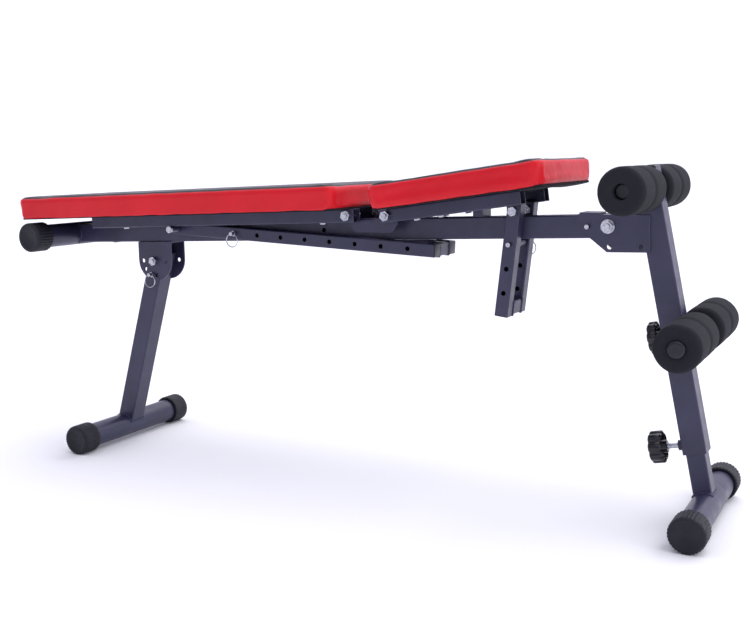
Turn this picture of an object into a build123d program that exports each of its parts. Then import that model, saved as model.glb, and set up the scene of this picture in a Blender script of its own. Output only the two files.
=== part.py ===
from build123d import *
import os
from math import atan, atan2, cos, degrees, hypot, radians, sin, tan

# Adjustable weight bench, in millimetres.
# +X runs from the head end to the foam rollers, +Y across the bench, +Z up.
# The origin is on the floor, under the middle of the overall box.

# ---- Driving dimensions -------------------------------------------------
HALF_LENGTH = 736.9  # half of the overall length

MAIN_TUBE = 40.0  # square tube of the beam, the upright and the rear leg
MAIN_WALL = 1.5
UPRIGHT_WALL = 2.0
ROUND_TUBE = 50.0  # round tube of the feet and of the rear crossbar
ROUND_WALL = 1.5
ARM_TUBE = 25.0  # square tube of the arms and of the pad rails
ARM_WALL = 1.5
INNER_TUBE = 32.0  # telescopic tube of the front foot
TUBE_CORNER = 2.5
PLATE = 3.0

CAP_RADIUS = 31.3
CAP_LENGTH = 43.0
CAP_END = 5.0  # end wall of a rubber cap
FLOOR_FLAT = 0.5  # worn off the bottom of each cap, so that it stands flat
FOOT_HEIGHT = CAP_RADIUS - FLOOR_FLAT
FRONT_FOOT_WIDTH = 332.0
REAR_FOOT_WIDTH = 341.5
CROSSBAR_WIDTH = 307.0

BEAM_SLOPE = 0.033  # rise of the beam towards +X
BEAM_HEIGHT = 484.8  # centre line of the beam at X = 0
BEAM_FRONT = 561.0
WELD_GAP = 0.02  # left between two pieces where a weld joins them

RUN_GAP = 0.1  # radial clearance of a pivot
SIDE_GAP = 0.4  # clearance between cheeks that turn past each other
LOCK_PIN = 4.0  # radius of a lock pin
LOCK_HOLE = 4.5  # radius of its holes
HINGE_BOLT = 5.0  # radius of the rear leg's and the pads' hinge bolts
FRONT_BOLT = 6.0
HINGE_NUT = 17.0  # across flats

# ---- Places in the XZ plane ----------------------------------------------
CROSSBAR = (-692.0, 462.0)
REAR_HINGE = (-457.9, 408.0)
REAR_FOOT = (-572.9, FOOT_HEIGHT)
FRONT_HINGE = (531.1, 502.3)
FRONT_FOOT = (HALF_LENGTH - CAP_RADIUS, FOOT_HEIGHT)

# ---- Pads -----------------------------------------------------------------
PAD_WIDTH = 292.0
PAD_CORNER = 22.0
PAD_EDGE = 15.0
BACKREST_SLOPE = 0.0376
BACKREST_THICK = 45.0
BACKREST_RIGHT = 63.0  # end of the backrest pad, next to the seat
SEAT_TILT = 7.8  # degrees, seat over level
SEAT_THICK = 44.0
SEAT_LEFT = 127.5
SEAT_RIGHT = 459.0
BOARD = 3.5
BOARD_INSET = 7.0
RAIL_INNER = 50.0  # inner face of a pad rail, from the middle plane
RAIL_CENTRE = RAIL_INNER + ARM_TUBE / 2

# ---- Arms -----------------------------------------------------------------
ARM_INNER = 22.0  # inner face of an arm, from the middle plane
ARM_CENTRE = ARM_INNER + ARM_TUBE / 2
ARM_OUTER = ARM_INNER + ARM_TUBE
BACKREST_ARM_PIVOT = (-367.9, 481.3)
BACKREST_LOCK = (-227.9, 474.5)
BACKREST_HOLE_STEP = 56.0
BACKREST_HOLES = 8
BACKREST_ARM_LENGTH = 586.0  # from the pivot to the far end
SEAT_ARM_PIVOT = (370.1, 527.0)
SEAT_LOCK = (363.1, 468.5)
SEAT_HOLE_STEP = 43.5
SEAT_HOLES = 3
SEAT_ARM_LENGTH = 187.0

# ---- Knobs ------------------------------------------------------------------
KNOB_LOBES = 8
KNOB_NOTCH = 6.4  # radius of the notches between the lobes
KNOB_HUB = 11.0
KNOB_FACE = 6.0  # left between the bore and the front face

# ---- Rollers and upright ----------------------------------------------------
UPRIGHT_LEAN = 0.2082  # X lost for each millimetre of height
UPRIGHT_BOTTOM = 122.0
UPRIGHT_TOP = 596.0
ROLLER_BAR = 12.5  # radius of the roller bars
ROLLER_BAR_WALL = 1.5
ROLLER_RADIUS = 38.5
ROLLER_INNER = 22.0
ROLLER_OUTER = 171.0
UPPER_BAR_HEIGHT = 566.2
UPPER_BAR_BACK = 4.0  # from the centre line of the upright, towards the pads
LOWER_BAR_STANDOFF = 37.4  # from the centre line of the upright
LOWER_BAR_HEIGHT = 327.4


# ---- Places that follow from the driving dimensions ------------------------
def beam_z(x):
    """Height of the beam's centre line."""
    return BEAM_HEIGHT + BEAM_SLOPE * x


def backrest_under(x):
    """Height of the underside of the backrest pad."""
    return 502.2 + BACKREST_SLOPE * (x + HALF_LENGTH)


def seat_under(x):
    """Height of the underside of the seat pad."""
    return 547.3 + tan(radians(SEAT_TILT)) * (x - 238.1)


def upright_x(z):
    """X of the upright's centre line."""
    return FRONT_FOOT[0] - UPRIGHT_LEAN * (z - FOOT_HEIGHT)


def step_from(point, towards, distance):
    """The point at a distance from point, on the line to towards."""
    run = hypot(towards[0] - point[0], towards[1] - point[1])
    return (
        point[0] + distance * (towards[0] - point[0]) / run,
        point[1] + distance * (towards[1] - point[1]) / run,
    )


BEAM_RISE = MAIN_TUBE / 2 / cos(atan(BEAM_SLOPE)) + WELD_GAP  # to a face of the beam
RAIL_DROP = BOARD + ARM_TUBE / 2  # from a pad's underside to its rail's centre
BEAM_TILT = degrees(atan(BEAM_SLOPE))
BACKREST_TILT = degrees(atan(BACKREST_SLOPE))
UPRIGHT_TILT = degrees(atan(UPRIGHT_LEAN))
BACKREST_HINGE_X = 52.1
SEAT_HINGE_X = 134.6
BACKREST_HINGE = (BACKREST_HINGE_X, backrest_under(BACKREST_HINGE_X) - RAIL_DROP)
SEAT_HINGE = (
    SEAT_HINGE_X,
    seat_under(SEAT_HINGE_X) - RAIL_DROP / cos(radians(SEAT_TILT)),
)
UPPER_BAR = (upright_x(UPPER_BAR_HEIGHT) - UPPER_BAR_BACK, UPPER_BAR_HEIGHT)
LEAN = radians(UPRIGHT_TILT)
OUTWARD = (cos(LEAN), sin(LEAN))  # from the upright's centre line to its roller side
DOWN_LEG = (sin(LEAN), -cos(LEAN))
LOWER_BAR_ROOT_Z = LOWER_BAR_HEIGHT - LOWER_BAR_STANDOFF * OUTWARD[1]
LOWER_BAR = (
    upright_x(LOWER_BAR_ROOT_Z) + LOWER_BAR_STANDOFF * OUTWARD[0],
    LOWER_BAR_HEIGHT,
)
HEIGHT_SCREW_Z = 135.3


# ---- Helpers ----------------------------------------------------------------
def square_tube(start, end, width, size, wall, corner=TUBE_CORNER):
    """Rectangular tube between two points: width along Y, size across it."""
    run = Vector(*end) - Vector(*start)
    with BuildPart() as tube:
        with BuildSketch(Plane(origin=start, x_dir=(0, 1, 0), z_dir=run)):
            RectangleRounded(width, size, corner)
            RectangleRounded(
                width - 2 * wall, size - 2 * wall, corner - wall / 2, mode=Mode.SUBTRACT
            )
        extrude(amount=run.length)
    return tube.part


def disc(point, y_start, y_end, radius, hole=0.0):
    """Round bar or ring along Y, centred on an XZ point."""
    with BuildPart() as bar:
        with BuildSketch(Plane.XZ.offset(-y_start)):
            with Locations(point):
                Circle(radius)
                if hole:
                    Circle(hole, mode=Mode.SUBTRACT)
        extrude(amount=y_start - y_end)
    return bar.part


def hexagon(point, y_start, y_end, across_flats, hole=0.0):
    """Hexagonal head or nut along Y, with its outer corners broken."""
    with BuildPart() as head:
        with BuildSketch(Plane.XZ.offset(-y_start)):
            with Locations(point):
                RegularPolygon(across_flats / 2, 6, major_radius=False, rotation=17)
                if hole:
                    Circle(hole, mode=Mode.SUBTRACT)
        extrude(amount=y_start - y_end)
    return head.part


def bolt_set(point, y_head, y_nut, radius, across_flats, washer=0.0, proud=3.0):
    """Hexagon bolt along Y with its nut, and washers if they have a radius.

    y_head and y_nut are the clamped faces. The head is beyond y_head.
    """
    away = 1 if y_head > y_nut else -1
    thin = 1.6 if washer else 0.0
    head_from = y_head + away * thin
    nut_from = y_nut - away * thin
    head_high = 0.62 * across_flats - 4.0
    nut_high = 0.5 * across_flats
    with BuildPart() as bolt:
        add(hexagon(point, head_from, head_from + away * head_high, across_flats))
        add(disc(point, head_from, nut_from - away * (nut_high + proud), radius))
    pieces = [bolt.part, hexagon(point, nut_from, nut_from - away * nut_high, across_flats, radius)]
    if washer:
        pieces.append(disc(point, y_head, head_from, washer, radius))
        pieces.append(disc(point, y_nut, nut_from, washer, radius))
    return pieces


def both_sides(pieces):
    """The pieces and their mirror images in the middle plane."""
    return list(pieces) + [mirror(piece, about=Plane.XZ) for piece in pieces]


def cut_across(points, radius, reach=90.0):
    """Cut holes along Y through the open part."""
    with BuildSketch(Plane.XZ) as holes:
        with Locations(*points):
            Circle(radius)
    extrude(holes.sketch, amount=reach, both=True, mode=Mode.SUBTRACT)


def save(name, pieces):
    """Write one node: a single part or a group of separate solids."""
    part = pieces
    if isinstance(pieces, list):
        part = Compound(children=[solid for piece in pieces for solid in piece.solids()])
    part.label = name
    export_step(part, f"parts/{name}.step")


def end_caps(centre, width):
    """The two rubber caps of a round tube, with a flat where they stand."""
    half = width / 2
    with BuildPart() as cap:
        with BuildSketch(Plane.XZ.offset(half - CAP_LENGTH)):
            with Locations(centre):
                Circle(CAP_RADIUS)
        extrude(amount=CAP_LENGTH)
        fillet(cap.faces().sort_by(Axis.Y)[0].edges(), radius=4)
        with BuildSketch(Plane.XZ.offset(half - CAP_LENGTH)):
            with Locations(centre):
                Circle(ROUND_TUBE / 2)
        extrude(amount=CAP_LENGTH - CAP_END, mode=Mode.SUBTRACT)
        if centre[1] < CAP_RADIUS:
            with Locations((centre[0], -half + CAP_LENGTH / 2, 0)):
                Box(
                    2 * CAP_RADIUS,
                    2 * CAP_LENGTH,
                    20,
                    align=(Align.CENTER, Align.CENTER, Align.MAX),
                    mode=Mode.SUBTRACT,
                )
    return both_sides([cap.part])


def foot_tube(centre, width):
    """Round tube along Y between the end walls of its caps."""
    half = width / 2 - CAP_END
    return disc(centre, -half, half, ROUND_TUBE / 2, ROUND_TUBE / 2 - ROUND_WALL)


def knob(base, axis, start, thick, hub, radius, bore):
    """Eight-lobed hand knob on an axis in the XZ plane, with a hub towards the tube."""
    plane = Plane(origin=(base[0], 0, base[1]), x_dir=(0, 1, 0), z_dir=(axis[0], 0, axis[1]))
    with BuildPart() as grip:
        with BuildSketch(plane.offset(start)):
            Circle(radius)
            with PolarLocations(radius + KNOB_NOTCH / 2, KNOB_LOBES):
                Circle(KNOB_NOTCH, mode=Mode.SUBTRACT)
        extrude(amount=thick)
        outward = Axis(plane.origin, plane.z_dir)
        face = grip.faces().filter_by(GeomType.PLANE).sort_by(outward)[-1]
        chamfer(face.edges(), 2)
        with BuildSketch(plane.offset(start)):
            Circle(KNOB_HUB)
        extrude(amount=-hub)
        with BuildSketch(plane.offset(start - hub)):
            Circle(bore)
        extrude(amount=hub + thick - KNOB_FACE, mode=Mode.SUBTRACT)
    return grip.part


def bar_on_axis(base, axis, start, end, radius, hole=0.0):
    """Round bar on an axis in the XZ plane, between two distances from base."""
    plane = Plane(origin=(base[0], 0, base[1]), x_dir=(0, 1, 0), z_dir=(axis[0], 0, axis[1]))
    with BuildPart() as bar:
        with BuildSketch(plane.offset(start)):
            Circle(radius)
            if hole:
                Circle(hole, mode=Mode.SUBTRACT)
        extrude(amount=end - start)
    return bar.part


os.makedirs("parts", exist_ok=True)

# ---- Frame: beam and rear crossbar ------------------------------------------
FRONT_LOCK_X = FRONT_HINGE[0] - 35.0
front_lock = (FRONT_LOCK_X, beam_z(FRONT_LOCK_X))
SPARE_HOLE = (-31.4, 484.0)  # second place for the backrest's lock pin
with BuildPart() as main_beam:
    add(
        square_tube(
            (CROSSBAR[0], 0, beam_z(CROSSBAR[0])),
            (BEAM_FRONT, 0, beam_z(BEAM_FRONT)),
            MAIN_TUBE,
            MAIN_TUBE,
            MAIN_WALL,
        )
    )
    with BuildSketch(Plane.XZ) as cope:
        with Locations(CROSSBAR):
            Circle(ROUND_TUBE / 2)
    extrude(cope.sketch, amount=MAIN_TUBE, both=True, mode=Mode.SUBTRACT)
    cut_across([BACKREST_LOCK, SPARE_HOLE, front_lock], LOCK_HOLE)
    cut_across([FRONT_HINGE], FRONT_BOLT)
save("main_beam", main_beam.part)

save("rear_crossbar", foot_tube(CROSSBAR, CROSSBAR_WIDTH))
save("crossbar_caps", end_caps(CROSSBAR, CROSSBAR_WIDTH))

# ---- Frame: rear leg bracket --------------------------------------------------
BRACKET_LEFT = -501.0
BRACKET_RIGHT = -412.0
BRACKET_ARC_Z = 410.0  # centre of the cheeks' round ends
BRACKET_RADIUS = (BRACKET_RIGHT - BRACKET_LEFT) / 2
BRACKET_MIDDLE = (BRACKET_LEFT + BRACKET_RIGHT) / 2
LOCK_CIRCLE = 31.0
LEG_ANGLE = degrees(atan2(REAR_FOOT[1] - REAR_HINGE[1], REAR_FOOT[0] - REAR_HINGE[0]))
LEG_HOLES = [LEG_ANGLE, LEG_ANGLE + 25.2, LEG_ANGLE - 35.8, 180.0, 0.0]
under_left = beam_z(BRACKET_LEFT) - BEAM_RISE
under_right = beam_z(BRACKET_RIGHT) - BEAM_RISE
lock_points = [
    (
        REAR_HINGE[0] + LOCK_CIRCLE * cos(radians(angle)),
        REAR_HINGE[1] + LOCK_CIRCLE * sin(radians(angle)),
    )
    for angle in LEG_HOLES
]
with BuildPart() as rear_leg_bracket:
    with BuildSketch(Plane.XZ) as cheek:
        with BuildLine():
            Polyline(
                (BRACKET_LEFT, BRACKET_ARC_Z),
                (BRACKET_LEFT, under_left),
                (BRACKET_RIGHT, under_right),
                (BRACKET_RIGHT, BRACKET_ARC_Z),
            )
            ThreePointArc(
                (BRACKET_RIGHT, BRACKET_ARC_Z),
                (BRACKET_MIDDLE, BRACKET_ARC_Z - BRACKET_RADIUS),
                (BRACKET_LEFT, BRACKET_ARC_Z),
            )
        make_face()
    extrude(cheek.sketch, amount=MAIN_TUBE / 2 + SIDE_GAP + PLATE, both=True)
    with BuildSketch(Plane.XZ) as throat:
        with BuildLine():
            Polyline(
                (BRACKET_LEFT - 10, BRACKET_ARC_Z - 60),
                (BRACKET_LEFT - 10, under_left - PLATE),
                (BRACKET_RIGHT + 10, under_right - PLATE),
                (BRACKET_RIGHT + 10, BRACKET_ARC_Z - 60),
                close=True,
            )
        make_face()
    extrude(throat.sketch, amount=MAIN_TUBE / 2 + SIDE_GAP, both=True, mode=Mode.SUBTRACT)
    cut_across(lock_points, LOCK_HOLE)
    cut_across([REAR_HINGE], HINGE_BOLT)
save("rear_leg_bracket", rear_leg_bracket.part)

CHEEK = MAIN_TUBE / 2 + SIDE_GAP + PLATE  # outer face of the brackets' cheeks
save("rear_hinge_bolt", bolt_set(REAR_HINGE, CHEEK, -CHEEK, HINGE_BOLT, HINGE_NUT))

# ---- Frame: bracket that carries the two pad hinges -----------------------------
EAR_INNER = 46.0
EAR_OUTER = 49.0
EAR_RADIUS = 10.5
EAR_LOW = 484.0
EAR_WAIST = 506.5
WEB_LEFT = 98.0
WEB_RIGHT = 123.0


def web_edge(x, above):
    """A point above the beam's top face."""
    return (x, beam_z(x) + BEAM_RISE + above)


with BuildPart() as hinge_bracket:
    with BuildSketch(Plane.XZ) as ear:
        with Locations(BACKREST_HINGE, SEAT_HINGE):
            Circle(EAR_RADIUS)
        with BuildLine():
            Polyline(
                (BACKREST_HINGE[0] - EAR_RADIUS, BACKREST_HINGE[1]),
                (BACKREST_HINGE[0] - EAR_RADIUS, EAR_WAIST - 6),
                (BACKREST_HINGE[0] + 2, EAR_LOW),
                (SEAT_HINGE[0] - 2, EAR_LOW),
                (SEAT_HINGE[0] + EAR_RADIUS, EAR_WAIST - 6),
                (SEAT_HINGE[0] + EAR_RADIUS, SEAT_HINGE[1]),
                (WEB_LEFT + 10, web_edge(WEB_LEFT + 10, PLATE)[1]),
                (WEB_LEFT - 4, web_edge(WEB_LEFT - 4, PLATE)[1] - 4.0),
                (BACKREST_HINGE[0] + 12, EAR_WAIST),
                (BACKREST_HINGE[0], BACKREST_HINGE[1] - 6),
                close=True,
            )
        make_face()
    extrude(ear.sketch, amount=EAR_OUTER, both=True)
    with BuildSketch(Plane.XZ) as between:
        with Locations((WEB_LEFT, EAR_WAIST)):
            Rectangle(2 * (WEB_LEFT - BACKREST_HINGE[0] + 2 * EAR_RADIUS), 4 * EAR_RADIUS + 30)
        with BuildLine():
            Polyline(
                web_edge(WEB_LEFT, 0),
                web_edge(WEB_RIGHT, 0),
                web_edge(WEB_RIGHT, PLATE),
                web_edge(WEB_LEFT, PLATE),
                close=True,
            )
        make_face(mode=Mode.SUBTRACT)
    extrude(between.sketch, amount=EAR_INNER, both=True, mode=Mode.SUBTRACT)
    cut_across([BACKREST_HINGE, SEAT_HINGE], HINGE_BOLT)
save("hinge_bracket", hinge_bracket.part)

RAIL_OUTER = RAIL_INNER + ARM_TUBE
hinge_sets = []
for hinge in (BACKREST_HINGE, SEAT_HINGE):
    hinge_sets += bolt_set(hinge, -EAR_INNER, -RAIL_OUTER - SIDE_GAP, HINGE_BOLT, HINGE_NUT)
save("pad_hinge_bolts", both_sides(hinge_sets))

# ---- Frame: seat rest and seat pin sleeve ------------------------------------------
POST_X = 292.5
POST_LENGTH = 19.0
POST_TOP = 530.6
POST_WALL = 2.0
with BuildPart() as seat_rest_post:
    with BuildSketch(Plane.XZ):
        with BuildLine():
            Polyline(
                web_edge(POST_X - POST_LENGTH / 2, 0),
                web_edge(POST_X + POST_LENGTH / 2, 0),
                (POST_X + POST_LENGTH / 2, POST_TOP),
                (POST_X - POST_LENGTH / 2, POST_TOP - POST_LENGTH * tan(radians(SEAT_TILT))),
                close=True,
            )
        make_face()
    extrude(amount=MAIN_TUBE / 2, both=True)
    with BuildSketch(Plane.XZ):
        with Locations((POST_X, POST_TOP - 10)):
            Rectangle(POST_LENGTH - 2 * POST_WALL, 60.0)
    extrude(amount=MAIN_TUBE / 2 - POST_WALL, both=True, mode=Mode.SUBTRACT)
save("seat_rest_post", seat_rest_post.part)

SLEEVE_RADIUS = 8.0
save("seat_pin_sleeve", disc(SEAT_LOCK, -MAIN_TUBE / 2, MAIN_TUBE / 2, SLEEVE_RADIUS, LOCK_HOLE))

FRONT_NUT = 18.0
FRONT_WASHER = 12.0
washer_face = CHEEK + 0.2
save(
    "front_hinge_bolt",
    bolt_set(FRONT_HINGE, washer_face, -washer_face, FRONT_BOLT, FRONT_NUT, FRONT_WASHER),
)

# ---- Rear leg -----------------------------------------------------------------------
LEG_ABOVE_HINGE = 22.0
BUSH_RADIUS = 8.0
leg_top = step_from(REAR_HINGE, REAR_FOOT, -LEG_ABOVE_HINGE)
with BuildPart() as rear_leg_tube:
    add(
        square_tube(
            (leg_top[0], 0, leg_top[1]),
            (REAR_FOOT[0], 0, REAR_FOOT[1]),
            MAIN_TUBE,
            MAIN_TUBE,
            MAIN_WALL,
        )
    )
    with BuildSketch(Plane.XZ) as saddle:
        with Locations(REAR_FOOT):
            Circle(ROUND_TUBE / 2)
    extrude(saddle.sketch, amount=MAIN_TUBE, both=True, mode=Mode.SUBTRACT)
    cut_across([step_from(REAR_HINGE, REAR_FOOT, LOCK_CIRCLE)], LOCK_HOLE)
    cut_across([REAR_HINGE], BUSH_RADIUS)
save("rear_leg_tube", rear_leg_tube.part)
save(
    "rear_leg_bush",
    disc(REAR_HINGE, -MAIN_TUBE / 2, MAIN_TUBE / 2, BUSH_RADIUS, HINGE_BOLT + RUN_GAP),
)
save("rear_foot_tube", foot_tube(REAR_FOOT, REAR_FOOT_WIDTH))
save("rear_foot_caps", end_caps(REAR_FOOT, REAR_FOOT_WIDTH))

# ---- Front leg: upright -------------------------------------------------------------
SCREW_ROOT = (upright_x(HEIGHT_SCREW_Z), HEIGHT_SCREW_Z)
ROLLER_ROOT = (upright_x(LOWER_BAR_ROOT_Z), LOWER_BAR_ROOT_Z)
TOWARDS_KNOB = (-OUTWARD[0], -OUTWARD[1])
with BuildPart() as front_upright:
    add(
        square_tube(
            (upright_x(UPRIGHT_BOTTOM), 0, UPRIGHT_BOTTOM),
            (upright_x(UPRIGHT_TOP), 0, UPRIGHT_TOP),
            MAIN_TUBE,
            MAIN_TUBE,
            UPRIGHT_WALL,
        )
    )
    cut_across([UPPER_BAR], ROLLER_BAR)
    add(bar_on_axis(SCREW_ROOT, TOWARDS_KNOB, 10, 30, 5.0), mode=Mode.SUBTRACT)
    add(bar_on_axis(ROLLER_ROOT, TOWARDS_KNOB, -30, 30, 5.2), mode=Mode.SUBTRACT)
save("front_upright", front_upright.part)

PLATE_TOP = 522.4
PLATE_SPARE_HOLES = [(534.1, 468.0), (587.0, 469.0)]
with BuildPart() as front_hinge_plates:
    with BuildSketch(Plane.XZ) as side_plate:
        with BuildLine():
            Polyline(
                (476.1, PLATE_TOP),
                (476.1, 501.0),
                (500.1, 482.0),
                (530.1, 458.5),
                (601.0, 460.0),
                (599.0, PLATE_TOP),
                close=True,
            )
        make_face()
        fillet(side_plate.vertices().group_by(Axis.X)[0], radius=4)
        fillet(side_plate.vertices().sort_by(Axis.Y)[0], radius=5)
    extrude(side_plate.sketch, amount=CHEEK, both=True)
    with BuildSketch(Plane.XZ) as gap:
        with Locations(FRONT_HINGE):
            Rectangle(300.0, 200.0)
    extrude(gap.sketch, amount=MAIN_TUBE / 2 + SIDE_GAP, both=True, mode=Mode.SUBTRACT)
    cut_across([FRONT_HINGE], FRONT_BOLT + RUN_GAP)
    cut_across([front_lock, *PLATE_SPARE_HOLES], LOCK_HOLE)
save("front_hinge_plates", list(front_hinge_plates.part.solids()))

STOP_LEFT = 481.1
STOP_RIGHT = 515.0
with BuildPart() as front_stop_plate:
    with BuildSketch(Plane.XY.offset(PLATE_TOP)):
        with Locations(((STOP_LEFT + STOP_RIGHT) / 2, 0)):
            Rectangle(STOP_RIGHT - STOP_LEFT, 2 * CHEEK)
    extrude(amount=PLATE)
save("front_stop_plate", front_stop_plate.part)

top_plane = Plane(
    origin=(upright_x(UPRIGHT_TOP), 0, UPRIGHT_TOP),
    x_dir=(0, 1, 0),
    z_dir=(-DOWN_LEG[0], 0, -DOWN_LEG[1]),
)
TOP_PLUG_HEIGHT = 6.0
TOP_PLUG_EDGE = 4.5
UPRIGHT_BORE = MAIN_TUBE - 2 * UPRIGHT_WALL
with BuildPart() as upright_top_plug:
    with BuildSketch(top_plane):
        RectangleRounded(MAIN_TUBE, MAIN_TUBE, 4)
    extrude(amount=TOP_PLUG_HEIGHT)
    plug_face = upright_top_plug.faces().sort_by(Axis(top_plane.origin, top_plane.z_dir))[-1]
    fillet(plug_face.edges(), radius=TOP_PLUG_EDGE)
    with BuildSketch(top_plane):
        RectangleRounded(UPRIGHT_BORE, UPRIGHT_BORE, 1.5)
    extrude(amount=-14)
save("upright_top_plug", upright_top_plug.part)

WELD_NUT_HIGH = 8.0
WELD_NUT_RADIUS = 9.0
NUT_BORE = 5.0
nut_top = MAIN_TUBE / 2 + WELD_NUT_HIGH
save(
    "height_weld_nut",
    bar_on_axis(SCREW_ROOT, TOWARDS_KNOB, MAIN_TUBE / 2, nut_top, WELD_NUT_RADIUS, NUT_BORE),
)

# ---- Front leg: roller bars and foam rollers ----------------------------------------
UPPER_BAR_END = 155.0
LOWER_BAR_END = 171.3
BAR_BORE = ROLLER_BAR - ROLLER_BAR_WALL
BAR_BOSS = 9.0  # radius of the stub between the lower bar and the upright
KNOB_BOLT = 5.0
PLUG_DEPTH = 15.0
LOWER_PLUG_RADIUS = 14.0
save(
    "upper_roller_bar",
    disc(UPPER_BAR, -UPPER_BAR_END, UPPER_BAR_END, ROLLER_BAR, BAR_BORE),
)
with BuildPart() as lower_roller_bar:
    add(disc(LOWER_BAR, -LOWER_BAR_END, LOWER_BAR_END, ROLLER_BAR, BAR_BORE))
    add(bar_on_axis(ROLLER_ROOT, OUTWARD, MAIN_TUBE / 2, LOWER_BAR_STANDOFF, BAR_BOSS))
    add(
        bar_on_axis(
            ROLLER_ROOT,
            OUTWARD,
            MAIN_TUBE / 2 - 1,
            LOWER_BAR_STANDOFF + 4,
            KNOB_BOLT + RUN_GAP,
        ),
        mode=Mode.SUBTRACT,
    )
save("lower_roller_bar", lower_roller_bar.part)


def bar_plug(bar, y_end, reach, radius):
    """Domed plastic plug in the near end of a roller bar."""
    with BuildPart() as plug:
        add(disc(bar, -y_end, -y_end - reach, radius))
        fillet(plug.faces().sort_by(Axis.Y)[0].edges(), radius=reach * 0.8)
        add(disc(bar, -y_end, -y_end + PLUG_DEPTH, BAR_BORE))
    return plug.part


save(
    "roller_bar_plugs",
    both_sides(
        [
            bar_plug(UPPER_BAR, UPPER_BAR_END, 3.0, ROLLER_BAR),
            bar_plug(LOWER_BAR, LOWER_BAR_END, 5.5, LOWER_PLUG_RADIUS),
        ]
    ),
)


ROLLER_EDGE = 9.0
GROOVE_RADIUS = 8.0
GROOVE_DEPTH = 3.5


def foam_roller(bar, side):
    """Foam sleeve with rounded ends and a groove round its middle."""
    middle = (ROLLER_INNER + ROLLER_OUTER) / 2
    length = ROLLER_OUTER - ROLLER_INNER
    bore = ROLLER_BAR + RUN_GAP
    plane = Plane(origin=(bar[0], 0, bar[1]), x_dir=(0, side, 0), z_dir=(side, 0, 0))
    with BuildPart() as roller:
        with BuildSketch(plane) as profile:
            with Locations((middle, (bore + ROLLER_RADIUS) / 2)):
                Rectangle(length, ROLLER_RADIUS - bore)
            fillet(profile.vertices().group_by(Axis.Z)[-1], radius=ROLLER_EDGE)
            with Locations((middle, ROLLER_RADIUS + GROOVE_RADIUS - GROOVE_DEPTH)):
                Circle(GROOVE_RADIUS, mode=Mode.SUBTRACT)
        revolve(axis=Axis((bar[0], 0, bar[1]), (0, 1, 0)))
    return roller.part


for level, bar in (("upper", UPPER_BAR), ("lower", LOWER_BAR)):
    for name, side in (("near", -1), ("far", 1)):
        save(f"{level}_{name}_roller", foam_roller(bar, side))

# ---- Front leg: knobs -----------------------------------------------------------------
ROLLER_KNOB_START = 28.0  # from the upright's centre line to the knob's rim
ROLLER_KNOB_THICK = 17.0
ROLLER_KNOB_HUB = 7.5
ROLLER_KNOB_RADIUS = 28.5
HEIGHT_KNOB_START = 53.0
HEIGHT_KNOB_THICK = 24.0
HEIGHT_KNOB_HUB = 6.0
HEIGHT_KNOB_RADIUS = 28.0
SCREW = 4.5
save(
    "roller_knob",
    knob(
        ROLLER_ROOT,
        TOWARDS_KNOB,
        ROLLER_KNOB_START,
        ROLLER_KNOB_THICK,
        ROLLER_KNOB_HUB,
        ROLLER_KNOB_RADIUS,
        KNOB_BOLT,
    ),
)
bolt_tip = LOWER_BAR_STANDOFF + 3
bolt_root = ROLLER_KNOB_START + ROLLER_KNOB_THICK - KNOB_FACE
save("roller_knob_bolt", bar_on_axis(ROLLER_ROOT, TOWARDS_KNOB, -bolt_tip, bolt_root, KNOB_BOLT))
save(
    "height_knob",
    knob(
        SCREW_ROOT,
        TOWARDS_KNOB,
        HEIGHT_KNOB_START,
        HEIGHT_KNOB_THICK,
        HEIGHT_KNOB_HUB,
        HEIGHT_KNOB_RADIUS,
        SCREW,
    ),
)
screw_tip = INNER_TUBE / 2 + 0.3
screw_root = HEIGHT_KNOB_START + HEIGHT_KNOB_THICK - KNOB_FACE
save("height_knob_screw", bar_on_axis(SCREW_ROOT, TOWARDS_KNOB, screw_tip, screw_root, SCREW))

# ---- Front foot ---------------------------------------------------------------------------
INNER_TOP = 223.0  # length of the telescopic tube, from the foot's centre
HEIGHT_STEP = 30.0
inner_top = (FRONT_FOOT[0] - INNER_TOP * DOWN_LEG[0], FRONT_FOOT[1] - INNER_TOP * DOWN_LEG[1])
with BuildPart() as front_inner_tube:
    add(
        square_tube(
            (FRONT_FOOT[0], 0, FRONT_FOOT[1]),
            (inner_top[0], 0, inner_top[1]),
            INNER_TUBE,
            INNER_TUBE,
            ARM_WALL,
        )
    )
    with BuildSketch(Plane.XZ) as inner_saddle:
        with Locations(FRONT_FOOT):
            Circle(ROUND_TUBE / 2)
    extrude(inner_saddle.sketch, amount=MAIN_TUBE, both=True, mode=Mode.SUBTRACT)
    for step in (-2, -1, 0, 1, 2):
        root = (
            SCREW_ROOT[0] + step * HEIGHT_STEP * DOWN_LEG[0],
            SCREW_ROOT[1] + step * HEIGHT_STEP * DOWN_LEG[1],
        )
        add(bar_on_axis(root, TOWARDS_KNOB, 5, 25, 5.0), mode=Mode.SUBTRACT)
save("front_inner_tube", front_inner_tube.part)
save("front_foot_tube", foot_tube(FRONT_FOOT, FRONT_FOOT_WIDTH))
save("front_foot_caps", end_caps(FRONT_FOOT, FRONT_FOOT_WIDTH))


# ---- Pads ------------------------------------------------------------------------------------
def slab(plane, length, width, thick, corner, edge):
    """Flat slab on a plane, with rounded corners and, if edge is set, rounded edges."""
    with BuildPart() as block:
        with BuildSketch(plane):
            RectangleRounded(length, width, corner)
        extrude(amount=thick)
        if edge:
            fillet(block.edges().filter_by(GeomType.LINE).filter_by(
                lambda one: abs((one @ 1 - one @ 0).dot(plane.z_dir)) < 1e-6
            ) + block.edges().filter_by(GeomType.CIRCLE), radius=edge)
    return block.part


def pad_plane(x, z, tilt):
    """Plane of a pad's underside, with its x along the bench."""
    lean = radians(tilt)
    return Plane(origin=(x, 0, z), x_dir=(cos(lean), 0, sin(lean)), z_dir=(-sin(lean), 0, cos(lean)))


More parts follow.
